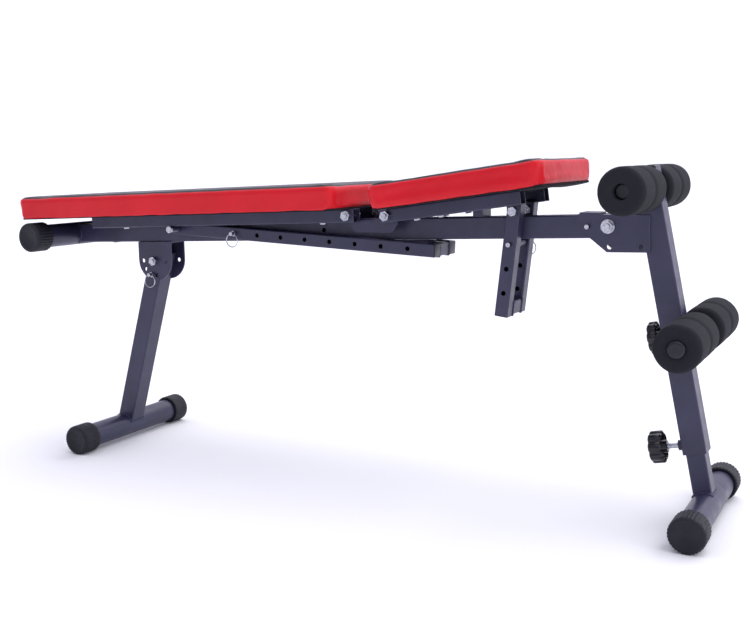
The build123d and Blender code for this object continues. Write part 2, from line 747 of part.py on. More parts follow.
def rails(under, tilt, left, right, hinge):
    """The two tubes under a pad, drilled for the hinge bolt."""
    drop = RAIL_DROP / cos(radians(tilt))
    with BuildPart() as rail:
        add(
            square_tube(
                (left, -RAIL_CENTRE, under(left) - drop),
                (right, -RAIL_CENTRE, under(right) - drop),
                ARM_TUBE,
                ARM_TUBE,
                ARM_WALL,
            )
        )
        cut_across([hinge], HINGE_BOLT + RUN_GAP)
    return both_sides([rail.part])


def crossbars(under, tilt, places, height):
    """Flat tubes that join the two rails under a pad."""
    bars = []
    for x in places:
        drop = (BOARD + height / 2) / cos(radians(tilt))
        middle = (x, 0, under(x) - drop)
        lean = radians(tilt)
        along = Vector(cos(lean), 0, sin(lean))
        with BuildPart() as bar:
            with BuildSketch(Plane(origin=(x, -RAIL_INNER, middle[2]), x_dir=along, z_dir=(0, 1, 0))):
                RectangleRounded(ARM_TUBE, height, TUBE_CORNER)
                RectangleRounded(
                    ARM_TUBE - 2 * ARM_WALL, height - 2 * ARM_WALL, 1.5, mode=Mode.SUBTRACT
                )
            extrude(amount=2 * RAIL_INNER)
        bars.append(bar.part)
    return bars


SCREW_HEAD = 7.0
SCREW_HEAD_HIGH = 3.2


def rail_screws(under, tilt, places):
    """Pan-head screws from below, through the rails and the board."""
    screws = []
    for x in places:
        for y in (-RAIL_CENTRE, RAIL_CENTRE):
            plane = pad_plane(x, under(x), tilt)
            base = plane.offset(-BOARD - ARM_TUBE)
            with BuildPart() as screw:
                with BuildSketch(Plane(base.origin + Vector(0, y, 0), x_dir=base.x_dir, z_dir=base.z_dir)):
                    Circle(SCREW_HEAD)
                extrude(amount=-SCREW_HEAD_HIGH)
                fillet(screw.faces().sort_by(Axis.Z)[0].edges(), radius=SCREW_HEAD_HIGH / 2)
            screws.append(screw.part)
    return screws


backrest_length = (BACKREST_RIGHT + HALF_LENGTH) / cos(radians(BACKREST_TILT)) - BACKREST_THICK * sin(
    radians(BACKREST_TILT)
)
backrest_middle = (BACKREST_RIGHT - HALF_LENGTH + BACKREST_THICK * sin(radians(BACKREST_TILT))) / 2
backrest_plane = pad_plane(backrest_middle, backrest_under(backrest_middle), BACKREST_TILT)
save(
    "backrest_pad",
    slab(backrest_plane, backrest_length, PAD_WIDTH, BACKREST_THICK, PAD_CORNER, PAD_EDGE),
)
save(
    "backrest_board",
    slab(
        backrest_plane.offset(-BOARD),
        backrest_length - 2 * BOARD_INSET,
        PAD_WIDTH - 2 * BOARD_INSET,
        BOARD,
        PAD_CORNER - BOARD_INSET,
        0,
    ),
)
BACKREST_RAIL_LEFT = -582.0
RAIL_PAST_HINGE = 14.0
save(
    "backrest_rails",
    rails(
        backrest_under,
        BACKREST_TILT,
        BACKREST_RAIL_LEFT,
        BACKREST_HINGE[0] + RAIL_PAST_HINGE,
        BACKREST_HINGE,
    ),
)
save("backrest_crossbars", crossbars(backrest_under, BACKREST_TILT, (-532.0, -52.0), 18.0))
save("backrest_screws", rail_screws(backrest_under, BACKREST_TILT, (-496.0, -8.0)))

seat_length = (SEAT_RIGHT - SEAT_LEFT) / cos(radians(SEAT_TILT))
seat_middle = (SEAT_RIGHT + SEAT_LEFT) / 2
seat_plane = pad_plane(seat_middle, seat_under(seat_middle), SEAT_TILT)
save("seat_pad", slab(seat_plane, seat_length, PAD_WIDTH, SEAT_THICK, PAD_CORNER, PAD_EDGE))
save(
    "seat_board",
    slab(
        seat_plane.offset(-BOARD),
        seat_length - 2 * BOARD_INSET,
        PAD_WIDTH - 2 * BOARD_INSET,
        BOARD,
        PAD_CORNER - BOARD_INSET,
        0,
    ),
)
SEAT_RAIL_RIGHT = 393.0
save(
    "seat_rails",
    rails(
        seat_under, SEAT_TILT, SEAT_HINGE[0] - RAIL_PAST_HINGE, SEAT_RAIL_RIGHT, SEAT_HINGE
    ),
)
save("seat_crossbars", crossbars(seat_under, SEAT_TILT, (172.0, POST_X), 20.0))
save("seat_screws", rail_screws(seat_under, SEAT_TILT, (188.0, 236.0)))

# ---- Pivots of the arms -----------------------------------------------------------------------
PIVOT = 4.0
PIVOT_SLEEVE = 6.1
PIVOT_HEAD = 13.0  # across flats
PIVOT_HEAD_HIGH = 5.5
PIVOT_FLANGE = 6.5
LUG_RADIUS = 11.0
SEAT_PIVOT_NUT = 15.0
arm_sleeve = disc(BACKREST_ARM_PIVOT, -RAIL_INNER, -RAIL_OUTER, PIVOT_SLEEVE, PIVOT)
save("backrest_arm_sleeves", both_sides([arm_sleeve]))

head_face = -RAIL_OUTER - PIVOT_HEAD_HIGH
flange_face = -ARM_INNER + 0.3
flange_back = -MAIN_TUBE / 2 - 0.5
with BuildPart() as arm_pivot:
    add(hexagon(BACKREST_ARM_PIVOT, -RAIL_OUTER, head_face, PIVOT_HEAD))
    add(disc(BACKREST_ARM_PIVOT, -RAIL_OUTER, flange_back - 0.3, PIVOT))
    add(disc(BACKREST_ARM_PIVOT, flange_face, flange_back, PIVOT_FLANGE))
save("backrest_arm_pivots", both_sides([arm_pivot.part]))

with BuildPart() as seat_arm_ear:
    with BuildSketch(Plane.XZ.offset(ARM_OUTER + 0.3)) as lug:
        with Locations(SEAT_ARM_PIVOT):
            Circle(LUG_RADIUS)
        with Locations((SEAT_ARM_PIVOT[0], SEAT_ARM_PIVOT[1] + 13.0)):
            Rectangle(2 * LUG_RADIUS, 26.0)
    extrude(lug.sketch, amount=RAIL_INNER - ARM_OUTER - 0.3)
    cut_across([SEAT_ARM_PIVOT], PIVOT)
save("seat_arm_ears", both_sides([seat_arm_ear.part]))
save(
    "seat_arm_pivots",
    both_sides(
        bolt_set(SEAT_ARM_PIVOT, -RAIL_INNER, flange_face, PIVOT, SEAT_PIVOT_NUT, proud=1.5)
    ),
)


# ---- Arms ----------------------------------------------------------------------------------------
def arm_pair(pivot, lock, length, tail, step, count):
    """Two square tubes with a row of lock holes, on the line from pivot through lock."""
    first = hypot(lock[0] - pivot[0], lock[1] - pivot[1])
    start = step_from(pivot, lock, -tail)
    end = step_from(pivot, lock, length)
    with BuildPart() as arm:
        add(
            square_tube(
                (start[0], -ARM_CENTRE, start[1]),
                (end[0], -ARM_CENTRE, end[1]),
                ARM_TUBE,
                ARM_TUBE,
                ARM_WALL,
            )
        )
        cut_across([pivot], PIVOT + RUN_GAP)
        cut_across([step_from(pivot, lock, first + i * step) for i in range(count)], LOCK_HOLE)
    return both_sides([arm.part])


def arm_crossbar(pivot, lock, length, size):
    """Square tube along Y that joins the ends of a pair of arms."""
    centre = step_from(pivot, lock, length - size / 2)
    run = Vector(lock[0] - pivot[0], 0, lock[1] - pivot[1])
    with BuildPart() as bar:
        with BuildSketch(Plane(origin=(centre[0], -ARM_INNER, centre[1]), x_dir=run, z_dir=(0, 1, 0))):
            RectangleRounded(size, size, TUBE_CORNER)
            RectangleRounded(
                size - 2 * ARM_WALL, size - 2 * ARM_WALL, 1.5, mode=Mode.SUBTRACT
            )
        extrude(amount=2 * ARM_INNER)
    return bar.part


save(
    "backrest_arm_tubes",
    arm_pair(
        BACKREST_ARM_PIVOT,
        BACKREST_LOCK,
        BACKREST_ARM_LENGTH,
        16.0,
        BACKREST_HOLE_STEP,
        BACKREST_HOLES,
    ),
)
save(
    "backrest_arm_crossbar",
    arm_crossbar(BACKREST_ARM_PIVOT, BACKREST_LOCK, BACKREST_ARM_LENGTH, 24.0),
)
save(
    "seat_arm_tubes",
    arm_pair(SEAT_ARM_PIVOT, SEAT_LOCK, SEAT_ARM_LENGTH, 13.0, SEAT_HOLE_STEP, SEAT_HOLES),
)
save("seat_arm_crossbar", arm_crossbar(SEAT_ARM_PIVOT, SEAT_LOCK, SEAT_ARM_LENGTH, 25.0))

# ---- Lock pins and their rings ----------------------------------------------------------------------
COLLAR = 3.0
EYE = 4.5  # from the collar to the cross hole
TAIL = 8.5
COLLAR_RADIUS = 5.4
EYE_RADIUS = 2.1
RING_RADIUS = 13.4
RING_WIRE = 1.0


def lock_pin(point, side, y_face, y_tip):
    """Pin along Y with a collar at y_face and a cross hole for its ring. side is +1 or -1."""
    eye_y = y_face + side * (COLLAR + EYE)
    with BuildPart() as pin:
        add(disc(point, y_tip, y_face + side * (COLLAR + TAIL), LOCK_PIN))
        add(disc(point, y_face, y_face + side * COLLAR, COLLAR_RADIUS))
        with BuildSketch(Plane.YZ) as cross:
            with Locations((eye_y, point[1])):
                Circle(EYE_RADIUS)
        eye = cross.sketch.moved(Location((point[0], 0, 0)))
        extrude(eye, amount=20, both=True, mode=Mode.SUBTRACT)
    return pin.part


def pin_ring(point, side, y_face):
    """Wire ring that hangs from the cross hole of a lock pin."""
    eye_y = y_face + side * (COLLAR + EYE)
    with BuildPart() as ring:
        with Locations(Location((point[0], eye_y, point[1] - RING_RADIUS), (90, 0, 0))):
            Torus(RING_RADIUS, RING_WIRE)
    return ring.part


PIN_PROUD = 7.0
rear_lock = step_from(REAR_HINGE, REAR_FOOT, LOCK_CIRCLE)
arm_face = ARM_OUTER + 0.2
cheek_face = CHEEK + 0.1
cheek_inner = MAIN_TUBE / 2 + SIDE_GAP
save("backrest_lock_pin", lock_pin(BACKREST_LOCK, -1, -arm_face, ARM_OUTER + PIN_PROUD))
save(
    "seat_lock_pin",
    [
        lock_pin(SEAT_LOCK, 1, arm_face, ARM_INNER),
        disc(SEAT_LOCK, -ARM_INNER, -ARM_OUTER - PIN_PROUD, LOCK_PIN),
    ],
)
save(
    "rear_leg_lock_pin",
    [
        lock_pin(rear_lock, -1, -cheek_face, -cheek_inner),
        disc(rear_lock, cheek_inner, CHEEK + PIN_PROUD, LOCK_PIN),
    ],
)
save(
    "front_leg_lock_pin",
    [
        lock_pin(front_lock, 1, cheek_face, cheek_inner),
        disc(front_lock, -cheek_inner, -CHEEK - PIN_PROUD, LOCK_PIN),
    ],
)
save("backrest_pin_ring", pin_ring(BACKREST_LOCK, -1, -arm_face))
save("seat_pin_ring", pin_ring(SEAT_LOCK, 1, arm_face))
save("rear_leg_pin_ring", pin_ring(rear_lock, -1, -cheek_face))
save("front_leg_pin_ring", pin_ring(front_lock, 1, cheek_face))
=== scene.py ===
# %% [markdown]
# # An adjustable weight bench
# The steel frame, bolts, pins and tubes come in from the CAD model as a fixed frame, already in
# their places. This lesson gives them their finishes and models what the CAD can't: two stuffed
# vinyl pads, four foam rollers, ribbed rubber caps, moulded knobs and the weld beads.

import bmesh
import bpy
import math
import numpy as np
from mathutils import Matrix, Vector


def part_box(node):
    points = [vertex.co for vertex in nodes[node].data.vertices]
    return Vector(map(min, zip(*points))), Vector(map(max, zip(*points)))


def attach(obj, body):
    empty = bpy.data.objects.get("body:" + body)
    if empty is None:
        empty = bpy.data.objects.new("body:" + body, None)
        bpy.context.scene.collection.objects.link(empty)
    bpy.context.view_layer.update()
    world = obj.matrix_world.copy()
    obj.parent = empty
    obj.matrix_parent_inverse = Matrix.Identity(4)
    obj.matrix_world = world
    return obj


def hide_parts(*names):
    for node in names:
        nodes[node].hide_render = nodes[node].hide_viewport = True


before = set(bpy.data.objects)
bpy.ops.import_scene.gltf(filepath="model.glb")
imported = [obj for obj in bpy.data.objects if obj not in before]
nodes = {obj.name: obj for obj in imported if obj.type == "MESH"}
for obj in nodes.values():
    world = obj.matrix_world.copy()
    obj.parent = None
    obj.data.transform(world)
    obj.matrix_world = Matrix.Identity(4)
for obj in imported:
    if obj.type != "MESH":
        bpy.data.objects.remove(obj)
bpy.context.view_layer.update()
scene = bpy.context.scene

# %% [markdown]
# ## Camera
# A picture of something long is taken from far enough back that its tubes stay
# nearly parallel. The camera stands low, just above the pads, and turned towards the head end,
# so that one long side, the feet and the rollers all show.

# %% Camera
CAMERA_PLACE = (1.0063, -1.7380, 0.6255)
CAMERA_YAW = math.radians(28.356)
CAMERA_PITCH = math.radians(9.156)
CAMERA_ROLL = math.radians(-0.790)
CAMERA_LENS = 49.14
SENSOR = 36.0

bpy.ops.object.camera_add(location=CAMERA_PLACE)
camera = bpy.context.active_object
camera.name = "camera"
turn = (
    Matrix.Rotation(CAMERA_YAW, 4, "Z")
    @ Matrix.Rotation(math.pi / 2 - CAMERA_PITCH, 4, "X")
    @ Matrix.Rotation(CAMERA_ROLL, 4, "Z")
)
camera.matrix_world = Matrix.Translation(CAMERA_PLACE) @ turn
camera.data.lens = CAMERA_LENS
camera.data.sensor_width = SENSOR
camera.data.dof.use_dof = False
scene.camera = camera
print("camera at", CAMERA_PLACE)

# %% [markdown]
# ## Floor and studio light
# The room is a white tent: a pale floor and a surround that is white behind the bench and
# greyer on the near side, so that the near faces of the tubes stay dark and the end faces turn
# light. A very soft light from above and two panels add long, gentle reflections.

# %% Floor
FLOOR_SIZE = 60.0
bpy.ops.object.select_all(action="DESELECT")
bpy.ops.mesh.primitive_plane_add(size=FLOOR_SIZE, location=(0, 0, 0))
floor = bpy.context.active_object
floor.name = "floor"

# %% Surround
BACK_LIGHT = (1.02, 1.01, 1.18)  # what the camera looks towards
FRONT_LIGHT = (0.44, 0.44, 0.58)  # what the near faces mirror
scene.view_settings.view_transform = "Standard"
world = bpy.data.worlds.new("white_tent")
world.use_nodes = True
scene.world = world
tree = world.node_tree
place = tree.nodes.new("ShaderNodeTexCoord")
parts = tree.nodes.new("ShaderNodeSeparateXYZ")
tree.links.new(place.outputs["Generated"], parts.inputs["Vector"])
fade = tree.nodes.new("ShaderNodeMapRange")
fade.inputs["From Min"].default_value = -0.75
fade.inputs["From Max"].default_value = 0.05
tree.links.new(parts.outputs["Y"], fade.inputs["Value"])
mix = tree.nodes.new("ShaderNodeMix")
mix.data_type = "RGBA"
mix.inputs[6].default_value = (*FRONT_LIGHT, 1)
mix.inputs[7].default_value = (*BACK_LIGHT, 1)
tree.links.new(fade.outputs["Result"], mix.inputs["Factor"])
tree.links.new(mix.outputs[2], tree.nodes["Background"].inputs["Color"])
print("surround from", FRONT_LIGHT, "to", BACK_LIGHT)


# %% Lights
def soft_panel(name, place, aim, size, power):
    """A square light panel at place, turned to face aim."""
    bpy.ops.object.light_add(type="AREA", location=place)
    panel = bpy.context.active_object
    panel.name = name
    panel.data.size = size
    panel.data.energy = power
    panel.rotation_mode = "QUATERNION"
    panel.rotation_quaternion = (Vector(aim) - Vector(place)).to_track_quat("-Z", "Y")
    return panel


bpy.ops.object.light_add(type="SUN", location=(0.6, 1.0, 3.0))
sky_light = bpy.context.active_object
sky_light.name = "soft_top"
sky_light.data.angle = math.radians(70)
sky_light.data.energy = 1.7
sky_light.rotation_euler = (math.radians(-18), math.radians(14), 0)
soft_panel("panel_front", (0.6, -3.2, 2.4), (0.4, 0, 0.4), 1.6, 7)
soft_panel("panel_right", (3.2, -0.6, 1.2), (0.5, 0, 0.4), 1.6, 14)

# %% [markdown]
# ## Helpers for materials
# Every finish is one Principled shader. Its colour, roughness and bump come from procedural
# textures that read Object coordinates. All pieces sit at the origin, so one coordinate is one
# metre on each of them and a grain has the same size everywhere.


# %% Material helpers
def new_finish(name, roughness=0.5, metallic=0.0):
    """An empty Principled material and a small kit to wire it."""
    finish = bpy.data.materials.new(name)
    finish.use_nodes = True
    shader = finish.node_tree.nodes["Principled BSDF"]
    shader.inputs["Roughness"].default_value = roughness
    shader.inputs["Metallic"].default_value = metallic
    return finish, finish.node_tree, shader


def add_node(tree, kind, **values):
    """A node of that kind. Values name its properties or its input sockets."""
    made = tree.nodes.new(kind)
    for key, value in values.items():
        socket = key.replace("_", " ")
        if hasattr(made, key):
            setattr(made, key, value)
        else:
            made.inputs[socket].default_value = value
    return made


def object_noise(tree, size, detail=3.0, stretch=(1, 1, 1)):
    """Noise on Object coordinates with features of about that size in metres."""
    place = add_node(tree, "ShaderNodeTexCoord")
    mapping = add_node(tree, "ShaderNodeMapping")
    mapping.inputs["Scale"].default_value = stretch
    noise = add_node(tree, "ShaderNodeTexNoise", Scale=1.0 / size, Detail=detail)
    tree.links.new(place.outputs["Object"], mapping.inputs["Vector"])
    tree.links.new(mapping.outputs["Vector"], noise.inputs["Vector"])
    return noise.outputs["Fac"]


def object_cells(tree, size, feature="F1"):
    """Cells on Object coordinates, of about that size in metres."""
    place = add_node(tree, "ShaderNodeTexCoord")
    cells = add_node(tree, "ShaderNodeTexVoronoi", feature=feature, Scale=1.0 / size)
    tree.links.new(place.outputs["Object"], cells.inputs["Vector"])
    return cells.outputs["Distance"]


def ramp(tree, source, low, high, dark, light):
    """Maps source from low..high to the colours dark..light."""
    made = add_node(tree, "ShaderNodeValToRGB")
    made.color_ramp.elements[0].position = low
    made.color_ramp.elements[0].color = (*dark, 1)
    made.color_ramp.elements[1].position = high
    made.color_ramp.elements[1].color = (*light, 1)
    tree.links.new(source, made.inputs["Fac"])
    return made.outputs["Color"]


def spread(tree, source, low, high):
    """Maps source from 0.3..0.7, where noise mostly is, to low..high."""
    made = add_node(tree, "ShaderNodeMapRange")
    made.inputs["From Min"].default_value = 0.3
    made.inputs["From Max"].default_value = 0.7
    made.inputs["To Min"].default_value = low
    made.inputs["To Max"].default_value = high
    tree.links.new(source, made.inputs["Value"])
    return made.outputs["Result"]


def add_bump(tree, shader, height, distance, strength=1.0):
    """Puts a height pattern on the shader, on top of any bump that it has."""
    bump = add_node(tree, "ShaderNodeBump", Strength=strength, Distance=distance)
    if shader.inputs["Normal"].is_linked:
        below = shader.inputs["Normal"].links[0].from_socket
        tree.links.new(below, bump.inputs["Normal"])
    tree.links.new(height, bump.inputs["Height"])
    tree.links.new(bump.outputs["Normal"], shader.inputs["Normal"])
    return bump


# %% [markdown]
# ## Frame paint
# The tubes are powder coated in a dark bluish charcoal. Powder flows out as it bakes, but not
# flat: it keeps a fine orange-peel texture and a slight drift in gloss. A little metallic in
# the shader gives the cool, pearly lift on faces that turn to the light.

# %% Frame paint
paint, tree, shader = new_finish("frame_paint", metallic=0.1)
drift = object_noise(tree, 0.06, 4.0)
speckle = object_noise(tree, 0.0011, 2.0)
tree.links.new(
    ramp(tree, drift, 0.3, 0.7, (0.022, 0.022, 0.052), (0.032, 0.031, 0.074)),
    shader.inputs["Base Color"],
)
tree.links.new(spread(tree, object_noise(tree, 0.02, 3.0), 0.34, 0.46), shader.inputs["Roughness"])
shader.inputs["Coat Weight"].default_value = 0.08
shader.inputs["Coat Roughness"].default_value = 0.22
add_bump(tree, shader, speckle, 0.00025, 0.55)
add_bump(tree, shader, object_noise(tree, 0.004, 2.0), 0.0004, 0.25)

# %% [markdown]
# ## Zinc
# Bolts, nuts, pins and rings are zinc plated: bright metal with a soft, slightly cloudy gloss
# and faint blue and straw tints where the passivation varies.

# %% Zinc
zinc, tree, shader = new_finish("zinc", metallic=1.0)
cloud = object_noise(tree, 0.005, 3.0)
tree.links.new(
    ramp(tree, cloud, 0.35, 0.65, (0.36, 0.38, 0.46), (0.6, 0.6, 0.6)),
    shader.inputs["Base Color"],
)
tree.links.new(spread(tree, object_noise(tree, 0.002, 2.0), 0.2, 0.38), shader.inputs["Roughness"])
add_bump(tree, shader, object_noise(tree, 0.0009, 2.0), 0.0001, 0.4)

# %% [markdown]
# ## Rubber, foam and plastics
# The caps are moulded rubber, dull with a faint bloom. The rollers are closed-cell foam: a skin
# of tiny cells, some of them open, that soaks up light. The knobs are glossy, and the plugs in
# the tube ends are a plain satin plastic.

# %% Cap rubber
rubber, tree, shader = new_finish("cap_rubber")
shader.inputs["Specular IOR Level"].default_value = 0.35
tree.links.new(
    ramp(tree, object_noise(tree, 0.02, 4.0), 0.3, 0.75, (0.006, 0.006, 0.010), (0.013, 0.012, 0.021)),
    shader.inputs["Base Color"],
)
tree.links.new(spread(tree, object_noise(tree, 0.01, 3.0), 0.5, 0.68), shader.inputs["Roughness"])
add_bump(tree, shader, object_noise(tree, 0.0008, 2.0), 0.0002, 0.6)

# %% Roller foam
foam, tree, shader = new_finish("foam", roughness=0.92)
pores = object_cells(tree, 0.0012)
tree.links.new(
    ramp(tree, pores, 0.05, 0.6, (0.008, 0.008, 0.011), (0.017, 0.017, 0.022)),
    shader.inputs["Base Color"],
)
shader.inputs["Specular IOR Level"].default_value = 0.25
add_bump(tree, shader, pores, 0.0003, 0.5)
add_bump(tree, shader, object_noise(tree, 0.012, 3.0), 0.0008, 0.3)

# %% Plug plastic
plastic, tree, shader = new_finish("black_plastic")
shader.inputs["Specular IOR Level"].default_value = 0.35
tree.links.new(
    ramp(tree, object_noise(tree, 0.015, 3.0), 0.3, 0.7, (0.007, 0.007, 0.012), (0.013, 0.013, 0.021)),
    shader.inputs["Base Color"],
)
tree.links.new(spread(tree, object_noise(tree, 0.006, 2.0), 0.26, 0.38), shader.inputs["Roughness"])
add_bump(tree, shader, object_noise(tree, 0.0007, 1.0), 0.0001, 0.3)

# %% Knob plastic
knob_gloss, tree, shader = new_finish("knob_plastic")
shader.inputs["Specular IOR Level"].default_value = 0.4
tree.links.new(
    ramp(tree, object_noise(tree, 0.01, 3.0), 0.3, 0.7, (0.006, 0.006, 0.009), (0.012, 0.012, 0.017)),
    shader.inputs["Base Color"],
)
tree.links.new(spread(tree, object_noise(tree, 0.008, 2.0), 0.16, 0.28), shader.inputs["Roughness"])
shader.inputs["Coat Weight"].default_value = 0.1
shader.inputs["Coat Roughness"].default_value = 0.12
add_bump(tree, shader, object_noise(tree, 0.003, 2.0), 0.0002, 0.2)

# %% [markdown]
# ## Pad covers
# Each pad is covered in two sheets of vinyl: a red one round the sides and a black one on top.
# They meet in a seam at the top edge. Both have the same pressed leather grain. The mesh of a
# pad carries an attribute, panel_edge, that is the distance from that seam: below zero is the
# red side and above is the black top, so the colour changes exactly at the seam. Close to the
# seam the colour is also darkened, as painted shade for the groove that the seam sinks into.

# %% Pad vinyl
vinyl, tree, shader = new_finish("pad_vinyl")
edge = add_node(tree, "ShaderNodeAttribute", attribute_name="panel_edge").outputs["Fac"]
top_side = add_node(tree, "ShaderNodeMapRange")
top_side.inputs["From Min"].default_value = -0.0002
top_side.inputs["From Max"].default_value = 0.0002
tree.links.new(edge, top_side.inputs["Value"])
blush = object_noise(tree, 0.09, 3.0)
red = ramp(tree, blush, 0.3, 0.7, (0.58, 0.004, 0.011), (0.67, 0.007, 0.017))
black = ramp(tree, blush, 0.3, 0.7, (0.010, 0.011, 0.016), (0.017, 0.018, 0.025))
cover = add_node(tree, "ShaderNodeMix", data_type="RGBA")
tree.links.new(top_side.outputs["Result"], cover.inputs["Factor"])
tree.links.new(red, cover.inputs[6])
tree.links.new(black, cover.inputs[7])
# Painted shade: the colour is multiplied down to a quarter on the seam line and back to full 1.4 mm
# either side, standing in for the shadow in the seam's groove.
near_seam = add_node(tree, "ShaderNodeMath", operation="ABSOLUTE")
tree.links.new(edge, near_seam.inputs[0])
shade = ramp(tree, near_seam.outputs[0], 0.0002, 0.0014, (0.25, 0.25, 0.25), (1, 1, 1))
seam_painted_shade = add_node(tree, "ShaderNodeMix", data_type="RGBA", blend_type="MULTIPLY")
seam_painted_shade.inputs["Factor"].default_value = 1.0
tree.links.new(cover.outputs[2], seam_painted_shade.inputs[6])
tree.links.new(shade, seam_painted_shade.inputs[7])
tree.links.new(seam_painted_shade.outputs[2], shader.inputs["Base Color"])
gloss = add_node(tree, "ShaderNodeMapRange")
gloss.inputs["To Min"].default_value = 0.28
gloss.inputs["To Max"].default_value = 0.4
tree.links.new(top_side.outputs["Result"], gloss.inputs["Value"])
tree.links.new(gloss.outputs["Result"], shader.inputs["Specular IOR Level"])
tree.links.new(spread(tree, object_noise(tree, 0.03, 3.0), 0.36, 0.5), shader.inputs["Roughness"])
add_bump(tree, shader, object_cells(tree, 0.0016), 0.00022, 0.5)
add_bump(tree, shader, object_noise(tree, 0.018, 3.0), 0.0009, 0.25)

# %% [markdown]
# The underside of each board is closed with a black non-woven lining, stapled on. It is thin
# felt: no gloss, and a fine tangle of fibres.

# %% Lining felt
felt, tree, shader = new_finish("lining_felt", roughness=0.95)
fibres = object_noise(tree, 0.0016, 5.0, stretch=(1, 3, 1))
tree.links.new(
    ramp(tree, fibres, 0.3, 0.7, (0.006, 0.006, 0.008), (0.02, 0.02, 0.024)),
    shader.inputs["Base Color"],
)
shader.inputs["Specular IOR Level"].default_value = 0.2
add_bump(tree, shader, fibres, 0.0004, 0.6)

# %% [markdown]
# The floor is a plain pale sheet, so that it bounces light up under the bench.

# %% Floor sheet
sheet, tree, shader = new_finish("floor_sheet", roughness=0.85)
tree.links.new(
    ramp(tree, object_noise(tree, 0.8, 2.0), 0.2, 0.8, (0.88, 0.88, 0.88), (0.9, 0.9, 0.9)),
    shader.inputs["Base Color"],
)
shader.inputs["Specular IOR Level"].default_value = 0.1
floor.data.materials.append(sheet)

# %% [markdown]
# ## Finishes on the CAD nodes
# The record says which finish each kind of part has. The CAD shapes stay as they are; only
# the material slots of their objects change.

# %% Finishes by node
ZINC_NODES = [
    "rear_hinge_bolt",
    "pad_hinge_bolts",
    "front_hinge_bolt",
    "roller_knob_bolt",
    "height_knob_screw",
    "backrest_screws",
    "backrest_arm_pivots",
    "seat_screws",
    "seat_arm_pivots",
    "backrest_lock_pin",
    "backrest_pin_ring",
    "seat_lock_pin",
    "seat_pin_ring",
    "rear_leg_lock_pin",
    "rear_leg_pin_ring",
    "front_leg_lock_pin",
    "front_leg_pin_ring",
]
PLASTIC_NODES = ["upright_top_plug", "roller_bar_plugs", "rear_leg_bush"]
RUBBER_NODES = ["crossbar_caps", "rear_foot_caps", "front_foot_caps"]
FOAM_NODES = ["upper_near_roller", "upper_far_roller", "lower_near_roller", "lower_far_roller"]
KNOB_NODES = ["roller_knob", "height_knob"]
PAD_NODES = ["backrest_pad", "seat_pad"]
BOARD_NODES = ["backrest_board", "seat_board"]

finish_of = {name: paint for name in nodes}
for names, finish in (
    (ZINC_NODES, zinc),
    (PLASTIC_NODES, plastic),
    (RUBBER_NODES, rubber),
    (FOAM_NODES, foam),
    (KNOB_NODES, knob_gloss),
    (PAD_NODES, vinyl),
    (BOARD_NODES, felt),
):
    for name in names:
        finish_of[name] = finish
for name, finish in finish_of.items():
    nodes[name].data.materials.clear()
    nodes[name].data.materials.append(finish)
print("painted nodes:", sum(f is paint for f in finish_of.values()))

# %% [markdown]
# ## Helpers for modelling
# Operators act on what is selected, so each piece starts with nothing else selected. Faces and
# edges are picked in code by where they are, then changed with the same edit-mode tools that
# one would use by hand.


# %% Modelling helpers
def only(piece):
    """Select this object alone and make it active."""
    bpy.ops.object.select_all(action="DESELECT")
    piece.select_set(True)
    bpy.context.view_layer.objects.active = piece


def named(name):
    """Name the primitive that was just added, and its mesh."""
    piece = bpy.context.active_object
    piece.name = name
    piece.data.name = name
    only(piece)
    return piece


def apply_place(piece, place=Matrix.Identity(4)):
    """Put the piece's place into its mesh, so that its object sits at the origin."""
    only(piece)
    bpy.ops.object.transform_apply(location=True, rotation=True, scale=True)
    piece.data.transform(place)
    piece.data.update()


def choose(piece, kind, test):
    """In edit mode, select the vertices, edges or faces that pass the test."""
    mesh = bmesh.from_edit_mesh(piece.data)
    bpy.ops.mesh.select_mode(type={"verts": "VERT", "edges": "EDGE", "faces": "FACE"}[kind])
    bpy.ops.mesh.select_all(action="DESELECT")
    mesh = bmesh.from_edit_mesh(piece.data)
    found = 0
    for item in getattr(mesh, kind):
        if test(item):
            item.select_set(True)
            found += 1
    mesh.select_flush_mode()
    bmesh.update_edit_mesh(piece.data)
    return found


def points_of(piece):
    """The piece's vertices as rows of numbers."""
    flat = np.zeros(len(piece.data.vertices) * 3)
    piece.data.vertices.foreach_get("co", flat)
    return flat.reshape(-1, 3)


def move_points(piece, points):
    """Put the piece's vertices at these points."""
    piece.data.vertices.foreach_set("co", points.ravel())
    piece.data.update()


def normals_of(piece):
    """The piece's vertex normals as rows of numbers."""
    flat = np.zeros(len(piece.data.vertices) * 3, np.float32)
    piece.data.vertex_normals.foreach_get("vector", flat)
    return flat.reshape(-1, 3).astype(float)


def apply_modifier(piece, kind, **values):
    """Add a modifier with these values and apply it."""
    only(piece)
    added = piece.modifiers.new(kind.lower(), kind)
    for key, value in values.items():
        setattr(added, key, value)
    bpy.ops.object.modifier_apply(modifier=added.name)


def finish_piece(piece, finish, body, replaced=()):
    """Material slot, body and hidden stand-ins for a finished piece."""
    piece.data.materials.clear()
    piece.data.materials.append(finish)
    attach(piece, body)
    if replaced:
        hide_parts(*replaced)
    piece.data.calc_loop_triangles()
    print(f"{piece.name}: {len(piece.data.loop_triangles)} triangles on {body}")


# %% [markdown]
# ## Pads
# A pad is firm foam on a board, with vinyl pulled over it and stapled underneath. It starts as
# a block with rounded corners, 1 to 2 mm smaller than the pad. The block is remeshed into even
# squares and blown up a little by a cloth simulation with its underside pinned, as the board
# holds it. How far a point may move is capped, because foam this firm barely bulges.

